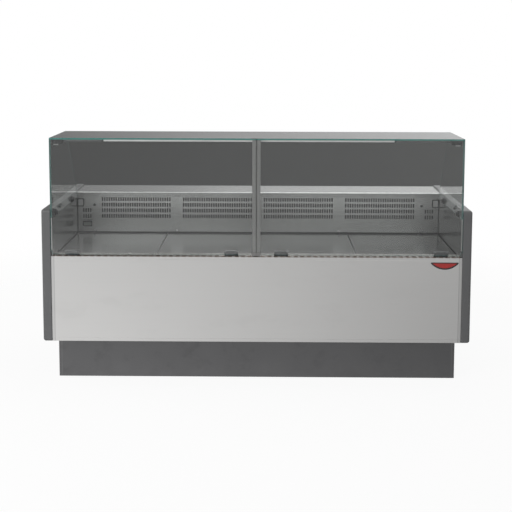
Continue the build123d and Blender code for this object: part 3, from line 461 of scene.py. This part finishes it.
lcd, tree, surface = new_material("lcd_grey")
cells = noise(tree, object_place(tree), 900.0, 2.0)
inputs = {
    "Base Color": tinted(tree, (0.20, 0.215, 0.20), plus(tree, 0.9, times(tree, cells, 0.2))),
    "Roughness": plus(tree, 0.16, times(tree, cells, 0.08)),
    "Coat Weight": 0.5,
}
principled(tree, surface, inputs)
dress(lcd, "thermometer_display", "controller_display")


def wear(obj, material, body):
    """Finishes a modelled piece: place in the mesh, one material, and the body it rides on."""
    bpy.ops.object.select_all(action="DESELECT")
    obj.select_set(True)
    bpy.context.view_layer.objects.active = obj
    bpy.ops.object.transform_apply(location=True, rotation=True, scale=True)
    obj.data.materials.clear()
    obj.data.materials.append(material)
    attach(obj, body)
    return obj


def joined(parts, name):
    """Several mesh objects as one piece."""
    bpy.ops.object.select_all(action="DESELECT")
    for part in parts:
        part.select_set(True)
    bpy.context.view_layer.objects.active = parts[0]
    bpy.ops.object.join()
    parts[0].name = name
    return parts[0]


def soften(made, width, segments):
    """Bevels the sharp edges of the active object."""
    rounding = made.modifiers.new("rounding", "BEVEL")
    rounding.width = width
    rounding.segments = segments
    rounding.limit_method = "ANGLE"
    bpy.ops.object.modifier_apply(modifier="rounding")


def bar(centre, size, edge=0.0):
    """A small bar, with bevelled edges where edge is more than 0."""
    bpy.ops.object.select_all(action="DESELECT")
    bpy.ops.mesh.primitive_cube_add(size=1.0, location=centre)
    made = bpy.context.active_object
    made.scale = size
    bpy.ops.object.transform_apply(location=False, rotation=False, scale=True)
    if edge:
        soften(made, edge, 2)
    return made


# A black honeycomb behind the punched slots straightens the air, and a filter strip lies under the return
# slots of the sill. Dark seals close the two corners between the grille and the end liners. Black strips
# along the gap between the grille and the trays stand in for the shadow in that gap: painted shade.
low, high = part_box("rear_air_grille")
backing = coated_part("black_honeycomb", (0.010, 0.010, 0.010), Scale=260.0, Relief=1.0, Roughness=0.85)
comb = bar((0.0, high.y + 0.0125, 0.785), (1.95, 0.010, 0.125), 0.001)
wear(comb, backing, "case").name = "air_honeycomb"
strip = bar((0.0, -0.4360, 0.6425), (1.96, 0.040, 0.002), 0.0005)
wear(strip, backing, "case").name = "return_air_filter"
seal_size = (0.0030, 0.0020, 0.147)
seals = [bar((side * (high.x - 0.0016), low.y - 0.0011, 0.7185), seal_size, 0.0004) for side in (-1, 1)]
wear(joined(seals, "corner_seals"), black_plastic, "case")
# Painted shade: dark strips placed where the gap between the grille and the trays lies in shadow.
shadow_strips = [bar((0.0, 0.2010, 0.6392), (1.975, 0.0130, 0.0106), 0.001)]
shadow_strips.append(bar((0.0, 0.2062, 0.6485), (1.975, 0.0024, 0.0082), 0.0008))
wear(joined(shadow_strips, "deck_shadow_strip"), black_plastic, "case")

# Seven-segment figures stand a hair proud of each display.
SEGMENTS = {"0": "abcdef", "2": "abdeg", "-": "g"}
SEGMENT_PLACES = {
    "a": (0.0, 1.0, True),
    "b": (0.5, 0.5, False),
    "c": (0.5, -0.5, False),
    "d": (0.0, -1.0, True),
    "e": (-0.5, -0.5, False),
    "f": (-0.5, 0.5, False),
    "g": (0.0, 0.0, True),
}


def figures(text, centre, digit, pitch, facing, name):
    """A row of figures. facing is -1 towards the customer and 1 towards the server."""
    width, height = digit
    parts = []
    for i, mark in enumerate(text):
        start = centre.x - facing * (i - (len(text) - 1) / 2) * pitch
        for segment in SEGMENTS[mark]:
            across, up, lying = SEGMENT_PLACES[segment]
            x = start - facing * across * width
            z = centre.z + up * height / 2
            size = (width * 0.8, 0.0003, 0.0011) if lying else (0.0011, 0.0003, height / 2 * 0.8)
            parts.append(bar((x, centre.y, z), size, 0.0001))
    return wear(joined(parts, name), black_plastic, "case")


proud = 0.00012
low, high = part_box("thermometer_display")
display = Vector(((low.x + high.x) / 2, low.y - proud, (low.z + high.z) / 2))
figures("-20", display, (0.0062, 0.0115), 0.0100, -1, "thermometer_figures")

# ---- screws --------------------------------------------------------------------------------------
# Pan heads with a cross recess hold the grille, the rear panels and the control plate.


def rod(vertices, radius, depth, centre, turned=(0, 0, 0)):
    """A straight rod, or a prism where vertices are few."""
    bpy.ops.object.select_all(action="DESELECT")
    bpy.ops.mesh.primitive_cylinder_add(
        vertices=vertices, radius=radius, depth=depth, location=centre, rotation=turned
    )
    return bpy.context.active_object


def pan_head(place, facing):
    """One screw head standing on a face at place. facing is -1 towards the customer."""
    rise, recess_reach, recess_width = 0.0022, 0.0024, 0.0009
    head = rod(28, 0.005, rise, (0, 0, rise / 2))
    bpy.ops.object.mode_set(mode="EDIT")
    bpy.ops.mesh.select_all(action="DESELECT")
    shape = bmesh.from_edit_mesh(head.data)
    for face in shape.faces:
        face.select_set(face.normal.z > 0.9)
    bmesh.update_edit_mesh(head.data)
    bpy.ops.mesh.bevel(offset=rise / 2, segments=4, affect="EDGES")
    bpy.ops.object.mode_set(mode="OBJECT")
    for turned in (0.0, math.pi / 2):
        bpy.ops.object.select_all(action="DESELECT")
        bpy.ops.mesh.primitive_cube_add(size=1.0, location=(0, 0, rise), rotation=(0, 0, turned))
        cutter = bpy.context.active_object
        cutter.scale = (2 * recess_reach, recess_width, rise)
        cut = head.modifiers.new("recess", "BOOLEAN")
        cut.operation = "DIFFERENCE"
        cut.object = cutter
        bpy.ops.object.select_all(action="DESELECT")
        head.select_set(True)
        bpy.context.view_layer.objects.active = head
        bpy.ops.object.modifier_apply(modifier="recess")
        bpy.data.objects.remove(cutter)
    head.rotation_euler = (-facing * math.pi / 2, 0, 0)
    head.location = place
    return head


def copies(source, places, twist):
    """source again at each place after the first, each turned by twist more than the one before."""
    made = [source]
    for place in places[1:]:
        bpy.ops.object.select_all(action="DESELECT")
        source.select_set(True)
        bpy.context.view_layer.objects.active = source
        bpy.ops.object.duplicate()
        again = bpy.context.active_object
        again.location = place
        again.rotation_euler.rotate_axis("Z", twist * len(made))
        made.append(again)
    return made


clear_of_face = 0.0003
head_twist = 0.7
grille_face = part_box("rear_air_grille")[0].y - clear_of_face
grille_end, grille_inner = 0.898, 0.445
grille_places = [Vector((x, grille_face, 0.800)) for x in (-grille_end, grille_end)]
foot_row = (-grille_end, -grille_inner, 0.0, grille_inner, grille_end)
grille_places += [Vector((x, grille_face, 0.658)) for x in foot_row]
rear_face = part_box("rear_upper_panel")[1].y + clear_of_face
rear_places = [Vector((x, rear_face, z)) for x in (-0.960, -0.320, 0.320, 0.960) for z in (0.460, 0.828)]
rear_places += [Vector((x, rear_face, z)) for x in (-0.960, 0.0, 0.960) for z in (0.044, 0.426)]
plate_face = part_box("control_panel")[1].y + clear_of_face
control_x, control_z = 0.700, 0.750
plate_places = [
    Vector((control_x + i * 0.138, plate_face, control_z + k * 0.043)) for i in (-1, 1) for k in (-1, 1)
]

# The two upper screws of the grille stand on dark washers.
washers = []
for place in grille_places[:2]:
    washer = rod(36, 0.0072, 0.0012, place + Vector((0.0, -0.0007, 0.0)), (math.pi / 2, 0, 0))
    soften(washer, 0.0004, 1)
    washers.append(washer)
wear(joined(washers, "screw_washers"), black_plastic, "case")
heads = copies(pan_head(grille_places[0], -1), grille_places, head_twist)
heads += copies(pan_head(rear_places[0], 1), rear_places, head_twist)
heads += copies(pan_head(plate_places[0], 1), plate_places, head_twist)
screws = joined(heads, "cross_screws")
bpy.ops.object.shade_smooth_by_angle(angle=math.radians(35))
screw_steel = sheet_metal(
    "screw_steel", (0.30, 0.30, 0.30), Stretch=(300.0, 300.0, 300.0), Roughness=0.3, Grain=0.1, Fold=0.0003
)
wear(screws, screw_steel, "case")
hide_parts("panel_screws")

# ---- worktop and rear panels ---------------------------------------------------------------------
# The server's side: a stainless work surface with a rounded front fold, satin rear panels, and a row of
# pressed louvres over the machine compartment.

# A painted highlight runs along the top of the fold, and painted shade darkens the face below it.
made, tree, surface = new_material("worktop_satin")
grain = use_group(
    tree, metal_sheet, Stretch=(1.4, 620.0, 620.0), Roughness=0.22, Grain=0.04, Cloud=0.06, Fold=0.003
)
axes = split(tree, object_place(tree))
low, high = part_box("worktop")
below_top = ramp(tree, axes[2], high.z - 0.003, high.z - 0.006)
under_fold = times(tree, below_top, ramp(tree, axes[1], low.y + 0.012, low.y + 0.008))
corner_foot = ramp(tree, axes[2], high.z - 0.0055, high.z - 0.0045)
corner_head = ramp(tree, axes[2], high.z - 0.0002, high.z - 0.0010)
corner_depth = ramp(tree, axes[1], low.y + 0.0045, low.y + 0.0035)
painted_corner_highlight = times(tree, times(tree, corner_foot, corner_head), corner_depth)
tone_with_corner_highlight = plus(tree, grain["Tone"], times(tree, painted_corner_highlight, 0.75))
shaded = times(tree, under_fold, minus(tree, 1.0, painted_corner_highlight))
inputs = {
    "Base Color": tinted(tree, (0.55, 0.55, 0.545), tone_with_corner_highlight, (0.33, 0.33, 0.326), shaded),
    "Metallic": 1.0,
    "Roughness": grain["Roughness"],
    "Normal": grain["Normal"],
}
principled(tree, surface, inputs)
dress(made, "worktop")
rear = sheet_metal(
    "rear_satin", (0.50, 0.50, 0.495), dusty=0.1, Stretch=(1.6, 260.0, 260.0), Roughness=0.33, Grain=0.08
)
dress(rear, "rear_upper_panel", "service_panel")

# A narrow filler closes each corner between the rear panel and the end of the plinth.
filler_x, filler_size = 0.9935, (0.0110, 0.0020, 0.1960)
fillers = [bar((side * filler_x, 0.44425, 0.1305), filler_size, 0.0004) for side in (-1, 1)]
wear(joined(fillers, "corner_fillers"), plinth_metal, "case")

# Pressed louvres: one rounded hood, open below and behind, repeated over the machine compartment.
panel_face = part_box("service_panel")[1].y
bpy.ops.object.select_all(action="DESELECT")
bpy.ops.mesh.primitive_cube_add(size=1.0, location=(0, 0, 0))
hood = bpy.context.active_object
hood.scale = (0.124, 0.0045, 0.011)
bpy.ops.object.transform_apply(location=False, rotation=False, scale=True)
bpy.ops.object.mode_set(mode="EDIT")
bpy.ops.mesh.select_all(action="DESELECT")
shape = bmesh.from_edit_mesh(hood.data)
for edge in shape.edges:
    edge.select_set(all(v.co.y > 0 and v.co.z > 0 for v in edge.verts))
bmesh.update_edit_mesh(hood.data)
bpy.ops.mesh.bevel(offset=0.0044, segments=5, affect="EDGES")
bpy.ops.mesh.select_all(action="DESELECT")
shape = bmesh.from_edit_mesh(hood.data)
for face in shape.faces:
    face.select_set(face.normal.z < -0.9 or face.normal.y < -0.9)
bmesh.update_edit_mesh(hood.data)
bpy.ops.mesh.delete(type="FACE")
bpy.ops.object.mode_set(mode="OBJECT")
sheet = hood.modifiers.new("sheet", "SOLIDIFY")
sheet.thickness = 0.0008
bpy.ops.object.modifier_apply(modifier="sheet")
across_pitch, up_pitch, middle_z = 0.150, 0.022, 0.2715
hood_y = panel_face + 0.0024
steps = range(-5, 6)
hood_places = [Vector((i * across_pitch, hood_y, middle_z + k * up_pitch)) for i in steps for k in steps]
hood.location = hood_places[0]
louvres = joined(copies(hood, hood_places, 0.0), "service_louvres")
bpy.ops.object.shade_smooth_by_angle(angle=math.radians(40))
wear(louvres, rear, "case")

# The rating plate carries blank rulings and no words.
plate_metal = sheet_metal(
    "plate_aluminium", (0.58, 0.59, 0.60), Stretch=(300.0, 300.0, 2.0), Roughness=0.35, Grain=0.15
)
plate_x = -0.62
plate = bar((plate_x, panel_face + 0.0007, 0.640), (0.110, 0.0008, 0.062), 0.0003)
rulings = []
for i in range(6):
    length = 0.088 - 0.02 * (i % 2)
    rulings.append(bar((plate_x, panel_face + 0.0012, 0.662 - i * 0.009), (length, 0.0003, 0.0012)))
wear(plate, plate_metal, "case").name = "rating_plate"
wear(joined(rulings, "rating_plate_lines"), black_plastic, "case")

# ---- controls ------------------------------------------------------------------------------------
# A graphite control plate with a display, two push keys marked with arrows, and a red rocker for the light.

dress(
    coated_part(
        "control_plate", (0.06, 0.062, 0.065), Scale=900.0, Relief=0.3, Roughness=0.42, Corner=0.0015
    ),
    "control_panel",
)
key_rubber = coated_part(
    "key_rubber", (0.13, 0.13, 0.13), Scale=1200.0, Relief=0.3, Roughness=0.6, Corner=0.0008
)
dress(key_rubber, "controller_key_down", "controller_key_up")
dress(
    coated_part(
        "rocker_red", (0.36, 0.02, 0.016), Scale=1000.0, Relief=0.1, Roughness=0.25, Corner=0.0008, coat=0.5
    ),
    "light_switch",
)
low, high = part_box("controller_display")
display = Vector(((low.x + high.x) / 2, high.y + proud, (low.z + high.z) / 2))
figures("-2", display, (0.0095, 0.0180), 0.0170, 1, "controller_figures")
keys = (("controller_key_down", "key_down", math.pi), ("controller_key_up", "key_up", 0.0))
for name, body, turned in keys:
    low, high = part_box(name)
    centre = (low + high) / 2
    arrow = rod(3, 0.0024, 0.0003, (centre.x, high.y + 0.0001, centre.z), (math.pi / 2, turned, 0))
    arrow.name = name + "_arrow"
    wear(arrow, plate_metal, body)

# ---- evaporator and condensing unit --------------------------------------------------------------
# Aluminium fins on copper tube, moulded fans, a black compressor and soldered copper pipe.

made, tree, surface = new_material("finned_coil")
grain = use_group(tree, metal_sheet, Stretch=(40.0, 40.0, 40.0), Grain=0.2, Roughness=0.35)
facing = split(tree, node(tree, "ShaderNodeTexCoord").outputs["Normal"])[0]
tube = times(tree, ramp(tree, maths(tree, "ABSOLUTE", facing), 0.3, 0.1), 0.55)
inputs = {
    "Base Color": tinted(tree, (0.60, 0.61, 0.62), grain["Tone"], (0.50, 0.27, 0.17), tube),
    "Metallic": 1.0,
    "Roughness": grain["Roughness"],
    "Normal": grain["Normal"],
}
principled(tree, surface, inputs)
dress(made, "evaporator_coil", "condenser_coil")
grey_plastic = coated_part("grey_plastic", (0.15, 0.155, 0.16), dusty=0.2, Roughness=0.48)
dress(grey_plastic, "evaporator_fan_1", "evaporator_fan_2", "condenser_fan", "electrical_box")
dress(black_plastic, "cable_gland")
motor_black = coated_part(
    "motor_black", (0.03, 0.03, 0.032), dusty=0.4, Scale=400.0, Relief=0.5, Roughness=0.45, coat=0.3
)
dress(motor_black, "compressor", "evaporator_fan_motors", "condenser_fan_motor")
dress(
    sheet_metal("copper_pipe", (0.60, 0.30, 0.18), Stretch=(50.0, 50.0, 50.0), Grain=0.3, Roughness=0.3),
    "refrigerant_pipes",
)


def fan_guard(centre, radius, rings, name):
    """Concentric wire rings on four crossed wires in front of a fan."""
    parts = []
    for i in range(1, rings + 1):
        bpy.ops.object.select_all(action="DESELECT")
        bpy.ops.mesh.primitive_torus_add(
            major_radius=radius * i / rings,
            minor_radius=0.0011,
            major_segments=48,
            minor_segments=8,
            location=centre,
            rotation=(math.pi / 2, 0, 0),
        )
        parts.append(bpy.context.active_object)
    for i in range(4):
        parts.append(rod(8, 0.0013, 2 * radius, centre + Vector((0, 0.002, 0)), (0, i * math.pi / 4, 0)))
    guard = joined(parts, name)
    bpy.ops.object.shade_smooth_by_angle(angle=math.radians(50))
    return wear(guard, screw_steel, "case")


deck_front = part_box("fan_deck")[0].y
fan_x, fan_z, guard_radius = 0.235, 0.552, 0.0525
for number, x in ((1, -fan_x), (2, fan_x)):
    fan_guard(Vector((x, deck_front - 0.0035, fan_z)), guard_radius, 4, f"evaporator_guard_{number}")

# ---- glass ---------------------------------------------------------------------------------------
# Clear float glass, teal where it is seen through a cut edge. The panes tip forward on dark clamps, the
# side glass is held by round black knobs, and the top glass rests on the post, over the light bar.

glass_edge, given, out = new_group(
    "glass_edge", [("Axis", "NodeSocketVector", (0.0, 0.0, 1.0))], [("Edge", "NodeSocketFloat")]
)
own = node(glass_edge, "ShaderNodeTexCoord").outputs["Normal"]
along = node(glass_edge, "ShaderNodeVectorMath", {0: own, 1: given["Axis"]}, operation="DOT_PRODUCT")
facing = maths(glass_edge, "ABSOLUTE", along.outputs["Value"])
glass_edge.links.new(ramp(glass_edge, facing, 0.96, 0.90), out["Edge"])


def float_glass(name, axis, cut_colour=(0.028, 0.20, 0.175), seam=0.0):
    """Clear glass with ground edges. axis is the way its faces look. Edges within seam of x = 0 are grey."""
    made, tree, surface = new_material(name)
    mask = use_group(tree, glass_edge, Axis=axis)["Edge"]
    place = object_place(tree)
    film = ramp(tree, noise(tree, place, 4.0, 5.0, 0.6), 0.45, 0.75)
    inputs = {
        "Base Color": blend(tree, film, (0.952, 0.970, 0.964, 1.0), (0.935, 0.952, 0.946, 1.0)),
        "Metallic": 0.0,
        "Roughness": 0.0,
        "IOR": 1.5,
        "Transmission Weight": 1.0,
    }
    clear = node(tree, "ShaderNodeBsdfPrincipled", inputs)
    ground = noise(tree, place, 220.0, 3.0)
    across = maths(tree, "ABSOLUTE", split(tree, place)[0])
    middle = ramp(tree, across, seam + 0.001, seam)
    tone = plus(tree, 0.75, times(tree, ground, 0.5))
    cut_shade = tinted(tree, cut_colour, tone, (0.03, 0.033, 0.033), middle)
    cut_inputs = {"Base Color": cut_shade, "Roughness": 0.22, "Coat Weight": 0.3}
    cut = node(tree, "ShaderNodeBsdfPrincipled", cut_inputs)
    whole = node(tree, "ShaderNodeMixShader", {0: mask, 1: clear.outputs[0], 2: cut.outputs[0]})
    tree.links.new(whole.outputs[0], surface)
    return made


dress(float_glass("glass_front", (0.0, 1.0, 0.0), seam=0.025), "front_glass_left", "front_glass_right")
dress(
    float_glass("glass_side", (1.0, 0.0, 0.0), (0.045, 0.11, 0.10)), "side_glass_left", "side_glass_right"
)
dress(float_glass("glass_top", (0.0, 0.0, 1.0)), "top_glass")
for name in ("front_glass_left", "front_glass_right", "side_glass_left", "side_glass_right", "top_glass"):
    nodes[name].visible_shadow = False

clamp = coated_part(
    "clamp_grey", (0.10, 0.101, 0.103), Scale=420.0, Relief=0.6, Roughness=0.4, Corner=0.0012, metallic=0.6
)
dress(clamp, "pane_clamps_left", "pane_clamps_right", "hinge_brackets")
dress(screw_steel, "hinge_pins")
dress(black_plastic, "corner_latches")

# Each latch has a bright steel tongue under it, and a small bright stud in its face.
low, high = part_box("corner_latches")
fittings = (
    (0.020, low.y + 0.0060, low.z - 0.0040, (0.024, 0.0040, 0.0060), 0.0008),
    (0.012, low.y + 0.0020, low.z + 0.0100, (0.0070, 0.0040, 0.0070), 0.0012),
)
tongues = []
for inset, y, z, size, edge in fittings:
    tongues += [bar((side * (high.x - inset), y, z), size, edge) for side in (-1, 1)]
wear(joined(tongues, "latch_tongues"), screw_steel, "case")


def knob(face, inward):
    """A scalloped clamp knob on the inner face of the side glass, with its washer and cap."""
    parts = []
    grip = 0.0160
    steps = ((0.0175, 0.0000, 0.0010), (grip, 0.0010, 0.0078), (0.0110, 0.0078, 0.0148))
    for radius, start, end in steps:
        middle = face.x + inward * (start + end) / 2
        step = rod(48, radius, end - start, (middle, face.y, face.z), (0, math.pi / 2, 0))
        bpy.ops.object.mode_set(mode="EDIT")
        bpy.ops.mesh.select_all(action="DESELECT")
        if radius == grip:
            shape = bmesh.from_edit_mesh(step.data)
            shape.faces.ensure_lookup_table()
            for i, face_i in enumerate(f for f in shape.faces if abs(f.normal.z) < 0.5):
                face_i.select_set(i % 4 == 0)
            bmesh.update_edit_mesh(step.data)
            bpy.ops.mesh.inset(thickness=0.0003, depth=-0.0011, use_individual=True)
        bpy.ops.object.mode_set(mode="OBJECT")
        soften(step, min(0.0009, (end - start) * 0.3), 2)
        parts.append(step)
    return parts


# On each side glass: two knobs, a hexagonal nut between them, and a shank behind each of the three.
glass_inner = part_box("side_glass_right")[0].x - 0.0003
knob_places = ((-0.383, 0.856), (0.039, 0.856))
nut_place = (-0.279, 0.868)
nut_depth, shank_depth = 0.0075, 0.0082
parts = []
for inward, x in ((-1, glass_inner), (1, -glass_inner)):
    for y, z in knob_places:
        parts += knob(Vector((x, y, z)), inward)
    parts.append(rod(6, 0.0062, nut_depth, (x + inward * nut_depth / 2, *nut_place), (0, math.pi / 2, 0)))
    for y, z in (*knob_places, nut_place):
        parts.append(rod(20, 0.004, shank_depth, (x - inward * shank_depth / 2, y, z), (0, math.pi / 2, 0)))
knobs = joined(parts, "clamp_knobs")
bpy.ops.object.shade_smooth_by_angle(angle=math.radians(35))
wear(knobs, black_plastic, "case")
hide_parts("glass_knobs")

post = sheet_metal(
    "post_aluminium",
    (0.27, 0.266, 0.262),
    Stretch=(300.0, 300.0, 2.0),
    Roughness=0.3,
    Grain=0.08,
    Fold=0.0025,
)
dress(post, "centre_post")
# The light bar's dark tone is painted shade around the painted highlight below.
dress(
    sheet_metal(
        "bar_aluminium_painted_shade", (0.13, 0.13, 0.13), Stretch=(1.5, 300.0, 300.0), Roughness=0.3, Grain=0.05
    ),
    "light_bar",
)

# A strip of white along the customer's side of the light bar, with its end caps, is a painted highlight
# standing in for a reflection there. It gives no light.
low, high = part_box("light_bar")
strip_x, cap_x = -0.0375, 0.7070
glint_white = coated_part(
    "painted_highlight_white", (0.62, 0.605, 0.60), Scale=500.0, Relief=0.1, Roughness=0.3, Corner=0.0006
)
white_strip = bar((strip_x, low.y - 0.0009, (low.z + high.z) / 2 + 0.0005), (1.405, 0.0016, 0.0088), 0.0004)
wear(white_strip, glint_white, "case").name = "painted_highlight_strip"
cap_z, cap_size = (low.z + high.z) / 2, (0.0085, 0.0018, 0.0104)
caps = [bar((strip_x + side * cap_x, low.y - 0.0010, cap_z), cap_size, 0.0004) for side in (-1, 1)]
wear(joined(caps, "highlight_caps"), black_plastic, "case")

# Slim edge profiles finish the front of both end liners, above the sweep of the panes.
profile_x, profile_size = 0.9955, (0.0050, 0.0050, 0.156)
profiles = [bar((side * profile_x, -0.4556, 0.762), profile_size, 0.0006) for side in (-1, 1)]
edge_metal = sheet_metal(
    "profile_aluminium", (0.42, 0.416, 0.412), Stretch=(300.0, 300.0, 2.0), Roughness=0.28, Grain=0.06
)
wear(joined(profiles, "end_profiles"), edge_metal, "case")

# ---- studio --------------------------------------------------------------------------------------
# A white cyclorama with six softboxes: a large key and a narrow rim on the left, a small low one for the
# plinth, a weak fill on the right, one overhead and one behind. What is seen through the glass is the dark
# back of the studio.


def held(tree, value, low, high):
    """value, kept between low and high."""
    return node(tree, "ShaderNodeClamp", {0: value, 1: low, 2: high}).outputs[0]


def either(tree, mask, first, second):
    """The first value where the mask is 0, and the second where it is 1."""
    return node(tree, "ShaderNodeMix", {0: mask, 2: first, 3: second}, data_type="FLOAT").outputs[0]


world = bpy.data.worlds.new("studio")
bpy.context.scene.world = world
world.use_nodes = True
tree = world.node_tree
tree.nodes.clear()
way = split(tree, node(tree, "ShaderNodeTexCoord").outputs["Generated"])
path = node(tree, "ShaderNodeLightPath").outputs

# What mirrored rays meet on the customer's side: an even wall, and below it a tone that falls to the right.
wall_tone = held(tree, plus(tree, 0.62, times(tree, way[0], 0.25)), 0.3, 0.9)
foot_tone = held(tree, plus(tree, 0.765, times(tree, way[0], -2.15)), 0.15, 1.3)
front_tone = either(tree, ramp(tree, way[2], -0.160, -0.205), wall_tone, foot_tone)

# On the server's side: dark below the horizon, and brighter to the right above it. A second mirroring swaps
# the two ends.
turned = times(tree, way[0], ramp(tree, path["Glossy Depth"], 1.4, 1.6, 1.0, -1.0))
back_tone = held(tree, plus(tree, 0.45, times(tree, turned, 1.15)), 0.2, 0.8)
back_tone = either(tree, ramp(tree, way[2], -0.05, 0.03), 0.06, back_tone)
mirrored = either(tree, ramp(tree, way[1], -0.2, 0.3), front_tone, back_tone)

# At both ends of the case: a tone that rises with height.
beside = ramp(tree, maths(tree, "ABSOLUTE", way[0]), 0.35, 0.65)
side_tone = ramp(tree, way[2], -0.1, 0.5, 0.42, 0.75)
mirrored = either(tree, beside, mirrored, side_tone)

# Straight through the glass it is dark, as light on matt pieces it is grey, and behind the case it is white.
dark_tone = plus(tree, 0.055, times(tree, held(tree, way[0], -0.3, 0.3), 0.04))
is_mirrored = maths(tree, "GREATER_THAN", path["Glossy Depth"], 0.5)
is_lit = maths(tree, "GREATER_THAN", path["Diffuse Depth"], 0.5)
seen = either(tree, is_mirrored, dark_tone, mirrored)
seen = either(tree, is_lit, seen, 0.38)
seen = either(tree, path["Is Camera Ray"], seen, 1.0)
backdrop = node(tree, "ShaderNodeBackground", {"Strength": seen, "Color": (1.0, 1.0, 1.0, 1.0)})
tree.links.new(backdrop.outputs[0], node(tree, "ShaderNodeOutputWorld").inputs[0])
world.cycles.sampling_method = "NONE"


def softbox(name, place, aim, width, height, power):
    """A rectangular light at place that faces aim."""
    light = bpy.data.lights.new(name, "AREA")
    light.shape = "RECTANGLE"
    light.size = width
    light.size_y = height
    light.energy = power
    made = bpy.data.objects.new(name, light)
    bpy.context.scene.collection.objects.link(made)
    made.location = place
    made.rotation_euler = (Vector(aim) - Vector(place)).to_track_quat("-Z", "Y").to_euler()
    made.visible_camera = False
    made.visible_transmission = False
    return made


softbox("key", (-3.2, -4.2, 3.0), (-0.2, -0.3, 0.6), 2.6, 2.2, 90.0)
softbox("fill", (3.8, -3.4, 2.0), (0.3, -0.2, 0.6), 2.0, 2.0, 11.0)
softbox("overhead", (0.6, 0.3, 3.6), (0.0, 0.0, 0.6), 3.0, 2.0, 18.0)
softbox("rear", (0.8, 4.0, 3.4), (0.0, 0.4, 0.6), 3.0, 2.0, 30.0)
softbox("low", (-2.3, -1.9, 0.55), (-0.85, -0.35, 0.15), 0.7, 0.7, 7.0).visible_glossy = False
softbox("rim", (-4.2, 0.9, 1.7), (-1.0, -0.2, 0.6), 1.0, 2.0, 22.0)

# A white floor that glows towards the camera and fades out at its rim.
bpy.ops.object.select_all(action="DESELECT")
bpy.ops.mesh.primitive_circle_add(vertices=96, radius=4.2, fill_type="NGON", location=(0, 0, -0.0005))
floor = bpy.context.active_object
floor.name = "studio_floor"
made, tree, surface = new_material("white_floor")
place = object_place(tree)
reach = node(tree, "ShaderNodeVectorMath", {0: place}, operation="LENGTH").outputs["Value"]
speckle = noise(tree, place, 30.0, 4.0)
paper = tinted(tree, (0.90, 0.90, 0.90), plus(tree, 0.98, times(tree, speckle, 0.04)))
matt = node(
    tree, "ShaderNodeBsdfPrincipled", {"Base Color": paper, "Roughness": 0.9, "Specular IOR Level": 0.1}
)
glow = node(tree, "ShaderNodeEmission", {"Color": (1.0, 1.0, 1.0, 1.0), "Strength": 1.0})
glowing = times(tree, node(tree, "ShaderNodeLightPath").outputs["Is Camera Ray"], 0.93)
lit = node(tree, "ShaderNodeMixShader", {0: glowing, 1: matt.outputs[0], 2: glow.outputs[0]})
clear = node(tree, "ShaderNodeBsdfTransparent")
faded = node(
    tree, "ShaderNodeMixShader", {0: ramp(tree, reach, 1.9, 4.0), 1: lit.outputs[0], 2: clear.outputs[0]}
)
tree.links.new(faded.outputs[0], surface)
floor.data.materials.append(made)
floor.visible_glossy = False
floor.visible_transmission = False

camera = bpy.data.objects.new("camera", bpy.data.cameras.new("camera"))
bpy.context.scene.collection.objects.link(camera)
camera.data.lens = 71.93
camera.data.sensor_width = 36.0
camera.data.shift_y = -0.2
camera.data.clip_end = 60.0
yaw, pitch, roll = (math.radians(angle) for angle in (0.699, 6.074, 0.135))
aimed = Matrix.Rotation(yaw, 4, "Z") @ Matrix.Rotation(math.pi / 2 - pitch, 4, "X")
turn = aimed @ Matrix.Rotation(roll, 4, "Z")
camera.matrix_world = Matrix.Translation((0.0575, -5.3526, 1.6779)) @ turn
bpy.context.scene.camera = camera
bpy.context.scene.view_settings.view_transform = "Standard"
